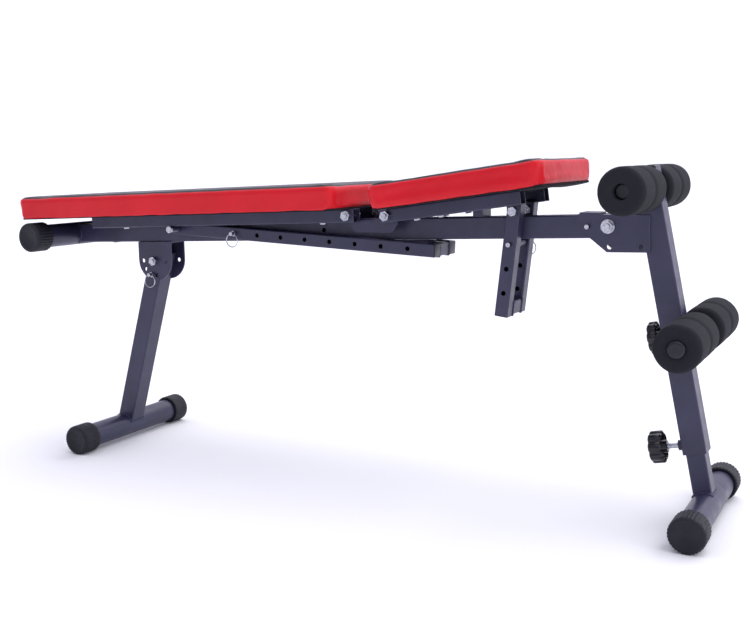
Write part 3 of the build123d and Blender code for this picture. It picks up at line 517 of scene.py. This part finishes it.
# %% Pad sizes
BACKREST_TILT = math.atan(0.0376)
BACKREST_LENGTH = 0.79877
BACKREST_MIDDLE = (-0.33610, 0.0, 0.51727)
BACKREST_THICK = 0.045
SEAT_TILT = math.radians(7.8)
SEAT_LENGTH = 0.33460
SEAT_MIDDLE = (0.29325, 0.0, 0.55485)
SEAT_THICK = 0.044
PAD_WIDTH = 0.292
PAD_CORNER = 0.022
SEAM_IN = 0.0045  # how far the seam sits in from the pad's outline
END_SLANT = (0.0052, 0.0012)  # how far an end leans in at its foot and out at its top
SIDE_SLANT = (0.0025, 0.0006)
WRAP = 0.0034  # how far the cover reaches down round the board
SLACK = 0.0015  # what the block leaves for the swell
PAD_TOP_ROUND = 0.011
PAD_LOW_ROUND = 0.007
PAD_PRESSURE = 4.0
PINNED_BELOW = 0.003
SEAM_DEPTH = 0.0010
SEAM_HALF_WIDTH = 0.0024
FOLD_HEIGHT = 0.0007
FOLDS_PER_RADIAN = 15
WAVE_HEIGHT = 0.00013


def on_pad(middle, tilt):
    """The matrix that puts a pad made flat at the origin onto the bench."""
    return Matrix.Translation(middle) @ Matrix.Rotation(-tilt, 4, "Y")


def pad_block(name, length, width, thick, corner, top_round, low_round):
    """A block with rounded corners and softened edges, on its underside at the origin."""
    bpy.ops.object.select_all(action="DESELECT")
    bpy.ops.mesh.primitive_cube_add(size=1, location=(0, 0, thick / 2), scale=(length, width, thick))
    block = named(name)
    bpy.ops.object.transform_apply(location=True, rotation=True, scale=True)
    bpy.ops.object.mode_set(mode="EDIT")
    choose(block, "edges", lambda e: abs((e.verts[0].co - e.verts[1].co).z) > thick / 2)
    bpy.ops.mesh.bevel(offset=corner, segments=10, affect="EDGES")
    choose(block, "edges", lambda e: all(v.co.z > thick - 1e-5 for v in e.verts))
    bpy.ops.mesh.bevel(offset=top_round, segments=4, affect="EDGES")
    choose(block, "edges", lambda e: all(v.co.z < 1e-5 for v in e.verts))
    bpy.ops.mesh.bevel(offset=low_round, segments=3, affect="EDGES")
    bpy.ops.object.mode_set(mode="OBJECT")
    return block


def inset_from_outline(points, length, width, corner):
    """How far each point lies inside the rounded outline of a pad, seen from above."""
    over_x = np.abs(points[:, 0]) - (length / 2 - corner)
    over_y = np.abs(points[:, 1]) - (width / 2 - corner)
    outside = np.hypot(np.maximum(over_x, 0), np.maximum(over_y, 0))
    inside = np.minimum(np.maximum(over_x, over_y), 0)
    return corner - outside - inside


def blow_up(pad, pressure, cap, pinned_below):
    """Cloth simulation with the underside pinned, then each move is cut back to the cap."""
    rest = points_of(pad)
    held = pad.vertex_groups.new(name="board")
    held.add([int(i) for i in np.flatnonzero(rest[:, 2] < pinned_below)], 1.0, "REPLACE")
    only(pad)
    cloth = pad.modifiers.new("cloth", "CLOTH")
    cloth.settings.use_pressure = True
    cloth.settings.uniform_pressure_force = pressure
    cloth.settings.vertex_group_mass = "board"
    cloth.settings.effector_weights.gravity = 0.0
    for step in range(1, 21):
        scene.frame_set(step)
    bpy.ops.object.modifier_apply(modifier="cloth")
    scene.frame_set(1)
    moved = points_of(pad) - rest
    far = np.linalg.norm(moved, axis=1, keepdims=True)
    kept = moved * (cap * np.tanh(far / cap) / np.maximum(far, 1e-9))
    move_points(pad, rest + kept)
    pad.vertex_groups.clear()
    print(f"{pad.name}: largest swell {far.max() * 1000:.1f} mm, kept {cap * 1000:.1f} mm at most")


# %% [markdown]
# The seam and the puckers come after the remesh, which would erase them. Vinyl that is pulled
# round a corner gathers in short folds that start at the staples and fade on the way up, and
# the seam sinks where the thread pulls the two sheets together.


# %% Sewn cover
def sew(pad, rest, length, width, thick, corner, seed):
    """Add the seam, corner folds and light waves, and record the distance from the seam."""
    inset = inset_from_outline(rest, length, width, corner)
    drop = thick - rest[:, 2]
    from_seam = inset - drop - SEAM_IN
    attribute = pad.data.attributes.new("panel_edge", "FLOAT", "POINT")
    attribute.data.foreach_set("value", from_seam.astype(np.float32))
    points, outward = points_of(pad), normals_of(pad)
    chance = np.random.default_rng(seed)
    push = -SEAM_DEPTH * np.exp(-((from_seam / SEAM_HALF_WIDTH) ** 2))
    push += 0.0003 * np.exp(-(((from_seam - 0.008) / 0.004) ** 2))
    side = np.clip((0.02 - inset) / 0.012, 0, 1)
    low = np.clip(1 - rest[:, 2] / (0.75 * thick), 0, 1)
    for sx in (-1, 1):
        for sy in (-1, 1):
            centre = np.array([sx * (length / 2 - corner), sy * (width / 2 - corner)])
            away = rest[:, :2] - centre
            angle = np.arctan2(away[:, 1] * sy, away[:, 0] * sx)
            near = np.exp(-(((np.hypot(*away.T) - corner) / 0.03) ** 2))
            corner_only = np.clip(1 - np.abs(angle - math.pi / 4) / 1.1, 0, 1)
            phase = chance.uniform(0, 6.28)
            folds = np.sin(angle * FOLDS_PER_RADIAN + phase + 6 * rest[:, 2] / thick)
            push += FOLD_HEIGHT * folds * near * corner_only * side * low**1.2
    along = rest[:, 0] + rest[:, 1] * 0.7
    for _ in range(5):
        wave = chance.uniform(0.05, 0.16)
        phase = chance.uniform(0, 6.28)
        push += WAVE_HEIGHT * side * np.sin(6.28 * along / wave + phase + 5 * drop / thick)
    points = points + outward * push[:, None]
    low = drop / thick
    for axis, half, slant in ((0, length / 2, END_SLANT), (1, width / 2, SIDE_SLANT)):
        near_end = np.clip((np.abs(rest[:, axis]) - half + 0.05) / 0.04, 0, 1)
        lean = slant[1] - (slant[0] + slant[1]) * low**1.3
        points[:, axis] += np.sign(rest[:, axis]) * near_end * lean
    wrap = np.clip((0.013 - inset) / 0.004, 0, 1)
    points[:, 2] -= (WRAP * low * wrap) * np.clip(1.2 - rest[:, 2] / thick, 0, 1)
    move_points(pad, points)


def make_pad(name, body, length, thick, middle, tilt, voxel, cap, seed, stood_for):
    """One upholstered pad, from the block to the sewn cover."""
    size = (length - 2 * SLACK, PAD_WIDTH - 2 * SLACK, thick - SLACK, PAD_CORNER - SLACK)
    block = pad_block(name, *size, PAD_TOP_ROUND, PAD_LOW_ROUND)
    block.data.remesh_voxel_size = voxel
    only(block)
    bpy.ops.object.voxel_remesh()
    rest = points_of(block)
    blow_up(block, PAD_PRESSURE, cap, PINNED_BELOW)
    rest_place = block.data.attributes.new("rest_place", "FLOAT_VECTOR", "POINT")
    rest_place.data.foreach_set("vector", rest.astype(np.float32).ravel())
    apply_modifier(block, "SUBSURF", levels=1, render_levels=1)
    flat = np.zeros(len(block.data.vertices) * 3, np.float32)
    block.data.attributes["rest_place"].data.foreach_get("vector", flat)
    rest = flat.reshape(-1, 3).astype(float)
    block.data.attributes.remove(block.data.attributes["rest_place"])
    sew(block, rest, *size, seed)
    apply_place(block, on_pad(middle, tilt))
    only(block)
    bpy.ops.object.shade_smooth()
    finish_piece(block, vinyl, body, [stood_for])
    return block


# %% Backrest pad
backrest_cushion = make_pad(
    "backrest_cushion",
    "backrest",
    BACKREST_LENGTH,
    BACKREST_THICK,
    BACKREST_MIDDLE,
    BACKREST_TILT,
    voxel=0.005,
    cap=0.0022,
    seed=11,
    stood_for="backrest_pad",
)

# %% Seat pad
seat_cushion = make_pad(
    "seat_cushion",
    "seat",
    SEAT_LENGTH,
    SEAT_THICK,
    SEAT_MIDDLE,
    SEAT_TILT,
    voxel=0.004,
    cap=0.0022,
    seed=23,
    stood_for="seat_pad",
)

# %% [markdown]
# ## Linings
# Under each pad the board is closed with felt. Past the end of the seat's rails the felt sags by
# a few millimetres, beside the rails hardly at all, and it lies flat where they press it to the
# board. A grid is pulled to the rounded outline, given a thickness, and its lower side let down.

# %% Lining
BOARD = 0.0035
BOARD_INSET = 0.007
RAIL_REACH = 0.078  # the rails press on the lining up to this far from the middle
STAPLE_STEP = 0.042


def make_lining(name, body, length, middle, tilt, rails_end, sag, stood_for):
    """The felt-covered board under a pad."""
    long, wide, corner = length - 2 * BOARD_INSET, PAD_WIDTH - 2 * BOARD_INSET, PAD_CORNER - BOARD_INSET
    bpy.ops.object.select_all(action="DESELECT")
    bpy.ops.mesh.primitive_grid_add(
        x_subdivisions=round(long / 0.006), y_subdivisions=round(wide / 0.006), size=1
    )
    lining = named(name)
    points = points_of(lining)
    points[:, 0] *= long
    points[:, 1] *= wide
    centre = np.stack(
        [
            np.clip(points[:, 0], corner - long / 2, long / 2 - corner),
            np.clip(points[:, 1], corner - wide / 2, wide / 2 - corner),
        ],
        axis=1,
    )
    away = points[:, :2] - centre
    square = np.maximum(np.abs(away).max(axis=1), 1e-9)
    round_off = square / np.maximum(np.hypot(*away.T), 1e-9)
    points[:, :2] = centre + away * round_off[:, None]
    move_points(lining, points)
    apply_modifier(lining, "SOLIDIFY", thickness=BOARD, offset=-1.0)
    points = points_of(lining)
    inset = inset_from_outline(points, long, wide, corner)
    beside = np.clip((np.abs(points[:, 1]) - RAIL_REACH) / 0.012, 0, 1)
    beyond = np.clip((points[:, 0] - rails_end) / 0.02, 0, 1)
    free = np.maximum(0.25 * beside, beyond)
    belly = np.clip(inset / 0.02, 0, 1) * free
    edge_run = points[:, 0] + points[:, 1]
    staples = np.abs(np.sin(math.pi * edge_run / STAPLE_STEP)) * np.exp(-((inset / 0.012) ** 2)) * free
    low = points[:, 2] < -BOARD / 2
    drift = 0.75 + 0.25 * np.sin(points[:, 0] * 41) * np.cos(points[:, 1] * 37)
    points[low, 2] -= (sag * belly * drift + 0.35 * sag * staples)[low]
    move_points(lining, points)
    apply_place(lining, on_pad(middle, tilt))
    bpy.ops.object.mode_set(mode="EDIT")
    bpy.ops.mesh.select_all(action="SELECT")
    bpy.ops.mesh.normals_make_consistent(inside=False)
    bpy.ops.object.mode_set(mode="OBJECT")
    bpy.ops.object.shade_smooth_by_angle(angle=math.radians(50))
    finish_piece(lining, felt, body, [stood_for])
    return lining


backrest_bed = (BACKREST_LENGTH, BACKREST_MIDDLE, BACKREST_TILT)
seat_bed = (SEAT_LENGTH, SEAT_MIDDLE, SEAT_TILT)
make_lining("backrest_lining", "backrest", *backrest_bed, 9.0, 0.0016, "backrest_board")
make_lining("seat_lining", "seat", *seat_bed, 0.105, 0.0038, "seat_board")

# %% [markdown]
# ## Foam rollers
# A roller is a sleeve of foam with soft ends and a groove round its middle. Its section is
# drawn once, as a ring of points from a circle primitive, and spun round the bar. Foam never
# stays truly round, so the finished skin is dented by a fraction of a millimetre.

# %% Roller section
ROLLER_RADIUS = 0.0385
ROLLER_BORE = 0.0127
ROLLER_INNER = 0.022
ROLLER_OUTER = 0.171


def roller_section():
    """Points (radius, distance from the middle plane) round the foam's section."""
    section = [(ROLLER_BORE, ROLLER_INNER + 0.0015), (ROLLER_BORE + 0.0015, ROLLER_INNER)]
    soft = 0.0085
    for step in range(7):
        angle = math.radians(-90 + 15 * step)
        section.append(
            (
                ROLLER_RADIUS - soft + soft * math.cos(angle),
                ROLLER_INNER + soft + soft * math.sin(angle),
            )
        )
    middle = (ROLLER_INNER + ROLLER_OUTER) / 2
    half = middle - ROLLER_INNER - soft
    for step in range(1, 24):
        place = -1 + step / 12
        groove = 0.0036 * math.exp(-((place * half / 0.0052) ** 2))
        crown = 0.0004 * math.sin(math.pi * abs(place)) - 0.0002
        section.append((ROLLER_RADIUS - groove + crown, middle + place * half))
    mirror = [(r, 2 * middle - t) for r, t in reversed(section[:9])]
    return section + mirror


def spin_section(name, section, steps):
    """Spin a closed section round the Y axis. The section is (radius, y) points."""
    bpy.ops.object.select_all(action="DESELECT")
    bpy.ops.mesh.primitive_circle_add(vertices=len(section), radius=0.01)
    turned = named(name)
    move_points(turned, np.array([(r, y, 0.0) for r, y in section]))
    bpy.ops.object.mode_set(mode="EDIT")
    bpy.ops.mesh.select_all(action="SELECT")
    bpy.ops.mesh.spin(steps=steps, angle=2 * math.pi, center=(0, 0, 0), axis=(0, 1, 0))
    bpy.ops.mesh.select_all(action="SELECT")
    bpy.ops.mesh.remove_doubles(threshold=0.00001)
    bpy.ops.mesh.normals_make_consistent(inside=False)
    bpy.ops.object.mode_set(mode="OBJECT")
    return turned


# %% Rollers
ROLLERS = {
    "upper_near": ("upper_near_roller", -1, 0.2),
    "upper_far": ("upper_far_roller", 1, 1.7),
    "lower_near": ("lower_near_roller", -1, 3.1),
    "lower_far": ("lower_far_roller", 1, 4.6),
}
for label, (node, side, phase) in ROLLERS.items():
    low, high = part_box(node)
    sleeve = spin_section(f"{label}_foam", roller_section(), 72)
    points = points_of(sleeve)
    around = np.arctan2(points[:, 2], points[:, 0])
    radius = np.hypot(points[:, 0], points[:, 2])
    dent = 0.00022 * np.sin(3 * around + phase + 20 * points[:, 1])
    dent += 0.00018 * np.sin(5 * around - phase + 33 * points[:, 1])
    scale = 1 + dent * np.clip((radius - 0.02) / 0.012, 0, 1) / np.maximum(radius, 1e-6)
    points[:, 0] *= scale
    points[:, 2] *= scale
    move_points(sleeve, points)
    if side < 0:
        sleeve.data.transform(Matrix.Rotation(math.pi, 4, "Z"))
    centre = (low + high) / 2
    apply_place(sleeve, Matrix.Translation((centre.x, 0, centre.z)))
    bpy.ops.object.shade_smooth()
    finish_piece(sleeve, foam, node, [node])

# %% [markdown]
# ## Rubber caps
# Each round tube ends in a rubber cap with fine ribs along it, for grip. The cap's section is
# spun round the tube, then every point of the outer skin is pushed in or out with the ribs. A
# mirror gives the second cap of the pair. Caps that stand on the floor are flattened there.

# %% Caps
CAP_RADIUS = 0.0313
CAP_LENGTH = 0.043
CAP_BORE = 0.02505
CAP_RIBS = 32
CAPS = {
    "crossbar_grips": ("crossbar_caps", "frame", (-0.692, 0.462), 0.1535),
    "rear_foot_grips": ("rear_foot_caps", "rear_leg", (-0.5729, 0.0308), 0.17075),
    "front_foot_grips": ("front_foot_caps", "front_foot", (0.7056, 0.0308), 0.166),
}


def cap_section(end):
    """Points (radius, distance from the middle plane) round a cap's section."""
    mouth = end - CAP_LENGTH
    section = [(CAP_BORE, mouth + 0.0008), (CAP_BORE + 0.0008, mouth), (0.0300, mouth)]
    section += [(0.0309, mouth + 0.0006), (CAP_RADIUS, mouth + 0.0016)]
    section += [(CAP_RADIUS, mouth + 0.0016 + 0.0072 * step) for step in range(1, 5)]
    soft = 0.0048
    for step in range(6):
        angle = math.radians(18 * step)
        across = CAP_RADIUS - soft + soft * math.cos(angle)
        section.append((across, end - soft + soft * math.sin(angle)))
    section += [(0.0225, end), (0.0215, end - 0.0007), (0.0, end - 0.0007)]
    return section + [(0.0, end - 0.0049), (CAP_BORE, end - 0.0049)]


for name, (node, body, centre, end) in CAPS.items():
    cap = spin_section(name, cap_section(end), 6 * CAP_RIBS)
    points = points_of(cap)
    around = np.arctan2(points[:, 2], points[:, 0])
    radius = np.hypot(points[:, 0], points[:, 2])
    wave = 0.5 - 0.5 * np.cos(CAP_RIBS * around)
    outer = np.clip((radius - 0.0272) / 0.003, 0, 1)
    scale = 1 - 0.0011 * wave**2 * outer / np.maximum(radius, 1e-6)
    points[:, 0] *= scale
    points[:, 2] *= scale
    points[:, 0] += centre[0]
    points[:, 2] += centre[1]
    if centre[1] < CAP_RADIUS:
        points[:, 2] = np.maximum(points[:, 2], 0.0)
    move_points(cap, points)
    apply_modifier(cap, "MIRROR", use_axis=(False, True, False), use_mirror_merge=False)
    only(cap)
    bpy.ops.object.shade_smooth_by_angle(angle=math.radians(55))
    finish_piece(cap, rubber, body, [node])

# %% [markdown]
# ## Knobs
# A knob is a moulding with eight soft lobes, a domed face and a hollow back with a hub. Its
# section is spun round the Y axis, the rim is drawn in between the lobes, and the finished knob
# is turned onto its screw.

# %% Knobs
LEAN = math.atan(0.2082)
KNOBS = {
    "roller_knob_grip": ("roller_knob", (0.645435, 0.319777), 0.028, 0.017, 0.0075, 0.0285, 0.00505),
    "height_knob_grip": ("height_knob", (0.683843, 0.1353), 0.053, 0.024, 0.006, 0.028, 0.00455),
}


def knob_section(start, thick, hub, radius, bore):
    """Points (radius, distance along the axis) round a knob's section."""
    face = start + thick
    section = [(bore, start - hub), (0.0102, start - hub), (0.011, start - hub + 0.0008)]
    section += [(0.0112, start + 0.006), (0.013, start + 0.0075), (radius - 0.006, start + 0.0075)]
    section += [(radius - 0.004, start + 0.005), (radius - 0.0032, start + 0.0008)]
    section += [(radius - 0.002, start), (radius - 0.0006, start + 0.0006), (radius, start + 0.002)]
    section += [(radius, start + 0.5 * thick), (radius, face - 0.0052)]
    for step in range(1, 5):
        angle = math.radians(20 * step)
        section.append(
            (radius - 0.005 + 0.005 * math.cos(angle), face - 0.0052 + 0.004 * math.sin(angle))
        )
    section += [(0.6 * radius, face - 0.0004), (0.4 * radius, face), (0.36 * radius, face - 0.0009)]
    return section + [(0.0, face - 0.0007), (0.0, face - 0.0059), (bore, face - 0.0059)]


for name, (node, root, *sizes) in KNOBS.items():
    grip = spin_section(name, knob_section(*sizes), 96)
    points = points_of(grip)
    around = np.arctan2(points[:, 2], points[:, 0])
    radius = np.hypot(points[:, 0], points[:, 2])
    turn_in_lobe = (around * 8 / (2 * math.pi)) % 1.0 - 0.5
    notch = 0.0036 * np.exp(-((turn_in_lobe / 0.19) ** 2))
    rim = np.clip((radius / sizes[3] - 0.5) / 0.35, 0, 1) ** 1.5
    scale = 1 - notch * rim / np.maximum(radius, 1e-6)
    points[:, 0] *= scale
    points[:, 2] *= scale
    move_points(grip, points)
    aim = Vector((-math.cos(LEAN), 0, -math.sin(LEAN)))
    turned = Vector((0, 1, 0)).rotation_difference(aim).to_matrix().to_4x4()
    apply_place(grip, Matrix.Translation((root[0], 0, root[1])) @ turned)
    only(grip)
    bpy.ops.object.shade_smooth_by_angle(angle=math.radians(50))
    finish_piece(grip, knob_gloss, node, [node])

# %% [markdown]
# ## Tube plugs
# The open ends of the arms are closed with square plastic plugs. A plug is a thin lid with
# softened edges on a plain stub that fills the tube.

# %% Tube plugs
BACKREST_ARM = ((-0.3679, 0.4813), (-0.2279, 0.4745))  # its pivot and its lock pin
BACKREST_ARM_LENGTH = 0.586
SEAT_ARM = ((0.3701, 0.5270), (0.3631, 0.4685))
SEAT_ARM_LENGTH = 0.187
ARM_MIDDLE = 0.0345
PLUG_SIDE = 0.0244
PLUG_LID = 0.0018
PLUG_STUB = 0.008
PLUG_LIP = 0.0018  # how far the lid stands out round its stub


def along(start, towards, distance):
    """The point at that distance from start, on the line to towards."""
    run = Vector((towards[0] - start[0], towards[1] - start[1])).normalized()
    return (start[0] + run.x * distance, start[1] + run.y * distance)


def tube_plugs(name, body, places):
    """Lids on tube ends. Each place is an end's XZ point, the way out of it, and its Y."""
    bpy.ops.object.select_all(action="DESELECT")
    lids = []
    for (x, z), out, y in places:
        bpy.ops.mesh.primitive_cube_add(
            size=1, location=(0, 0, PLUG_LID / 2), scale=(PLUG_SIDE, PLUG_SIDE, PLUG_LID)
        )
        lid = named(name)
        bpy.ops.object.transform_apply(location=True, rotation=True, scale=True)
        bpy.ops.object.mode_set(mode="EDIT")
        choose(lid, "edges", lambda e: abs((e.verts[0].co - e.verts[1].co).z) > 1e-4)
        bpy.ops.mesh.bevel(offset=0.0022, segments=3, affect="EDGES")
        choose(lid, "edges", lambda e: all(v.co.z > 0.9 * PLUG_LID for v in e.verts))
        bpy.ops.mesh.bevel(offset=0.0008, segments=2, affect="EDGES")
        choose(lid, "faces", lambda f: f.normal.z < -0.9)
        bpy.ops.mesh.inset(thickness=PLUG_LIP)
        bpy.ops.mesh.extrude_region_move(TRANSFORM_OT_translate={"value": (0, 0, -PLUG_STUB)})
        bpy.ops.object.mode_set(mode="OBJECT")
        turned = Vector((0, 0, 1)).rotation_difference(Vector((out[0], 0, out[1])))
        apply_place(lid, Matrix.Translation((x, y, z)) @ turned.to_matrix().to_4x4())
        lids.append(lid)
    only(lids[0])
    for lid in lids:
        lid.select_set(True)
    bpy.ops.object.join()
    only(lids[0])
    bpy.ops.object.shade_smooth_by_angle(angle=math.radians(40))
    finish_piece(lids[0], plastic, body)
    return lids[0]


def arm_ends(pivot, lock, tail, length):
    """Both ends of both arms of a pair."""
    near, far = along(pivot, lock, -tail), along(pivot, lock, length)
    out = Vector((far[0] - near[0], far[1] - near[1])).normalized()
    ends = []
    for y in (-ARM_MIDDLE, ARM_MIDDLE):
        ends += [(near, (-out.x, -out.y), y), (far, (out.x, out.y), y)]
    return ends


tube_plugs("backrest_arm_plugs", "backrest_arms", arm_ends(*BACKREST_ARM, 0.016, BACKREST_ARM_LENGTH))
tube_plugs("seat_arm_plugs", "seat_arms", arm_ends(*SEAT_ARM, 0.013, SEAT_ARM_LENGTH))

# %% [markdown]
# ## Weld beads
# Where one tube meets another, a weld runs round the joint. Each bead is a chain of small
# balls of slightly uneven size along the joint, remeshed into one skin. The paint covers it.

# %% Weld beads
BEAD_STEP = 0.0019


def walk(corners, closed=True):
    """Points every few millimetres along a path of straight pieces."""
    path = [Vector(c) for c in corners]
    if closed:
        path.append(path[0])
    steps = []
    for start, end in zip(path, path[1:]):
        count = max(1, round((end - start).length / BEAD_STEP))
        steps += [start.lerp(end, step / count) for step in range(count)]
    return steps + ([] if closed else [path[-1]])


def saddle(centre, towards, half, radius, lift):
    """The line where a square tube, half wide each way, sits on a round tube along Y."""
    out = Vector((towards[0] - centre[0], 0, towards[1] - centre[1])).normalized()
    side = Vector((out.z, 0, -out.x))
    root = Vector((centre[0], 0, centre[1]))
    corners = []
    for y in (-half - lift, half + lift):
        sweep = [-1 + step / 6 for step in range(13)]
        if y > 0:
            sweep.reverse()
        for share in sweep:
            across = share * (half + lift * 0.6)
            away = math.sqrt(max(radius**2 - across**2, 0)) + lift * 0.6
            corners.append(root + out * away + side * across + Vector((0, y, 0)))
    return corners


def weld(name, body, paths, size, seed):
    """One skin over chains of balls along the paths."""
    chance = np.random.default_rng(seed)
    bpy.ops.object.select_all(action="DESELECT")
    bpy.ops.mesh.primitive_ico_sphere_add(subdivisions=1, radius=size, location=paths[0][0])
    bead = named(name)
    apply_place(bead)
    bpy.ops.object.mode_set(mode="EDIT")
    for path in paths:
        for point in path:
            shift = Vector(chance.uniform(-0.12, 0.12, 3)) * size
            bpy.ops.mesh.primitive_ico_sphere_add(
                subdivisions=1, radius=size * chance.uniform(0.88, 1.14), location=point + shift
            )
    bpy.ops.object.mode_set(mode="OBJECT")
    bead.data.remesh_voxel_size = 0.0009
    only(bead)
    bpy.ops.object.voxel_remesh()
    bpy.ops.object.shade_smooth()
    finish_piece(bead, paint, body)
    return bead


def arm_loops(pivot, lock, length):
    """Square loops where the crossbar meets the inner faces of a pair of arms."""
    centre = along(pivot, lock, length - 0.0125)
    out = Vector((lock[0] - pivot[0], 0, lock[1] - pivot[1])).normalized()
    side = Vector((out.z, 0, -out.x))
    root = Vector((centre[0], 0, centre[1]))
    half = 0.0128
    loops = []
    for y in (-0.0212, 0.0212):
        ring = [(-half, -half), (half, -half), (half, half), (-half, half)]
        loops.append(walk([root + out * a + side * b + Vector((0, y, 0)) for a, b in ring]))
    return loops


SADDLES = {
    "beam_weld": ("frame", (-0.692, 0.462), (0.0, 0.4848), 0.020, 0.0026, 1),
    "rear_leg_weld": ("rear_leg", (-0.5729, 0.0308), (-0.4579, 0.4080), 0.020, 0.0024, 2),
    "front_foot_weld": ("front_foot", (0.7056, 0.0308), (0.60779, 0.5), 0.016, 0.0024, 3),
}
ROUND_TUBE_RADIUS = 0.025
SADDLE_LIFT = 0.0008
for name, (body, foot, towards, half, size, seed) in SADDLES.items():
    corners = saddle(foot, towards, half, ROUND_TUBE_RADIUS, SADDLE_LIFT)
    weld(name, body, [walk(corners)], size, seed)
plate_edge = [
    walk([(0.6013, y, 0.4615), (0.5994, y, 0.5210)], closed=False) for y in (-0.0216, 0.0216)
]
weld("hinge_plate_weld", "front_leg", plate_edge, 0.0026, 4)
ARM_WELD = 0.0021
backrest_joints = arm_loops(*BACKREST_ARM, BACKREST_ARM_LENGTH)
weld("backrest_arm_weld", "backrest_arms", backrest_joints, ARM_WELD, 5)
weld("seat_arm_weld", "seat_arms", arm_loops(*SEAT_ARM, SEAT_ARM_LENGTH), ARM_WELD, 6)
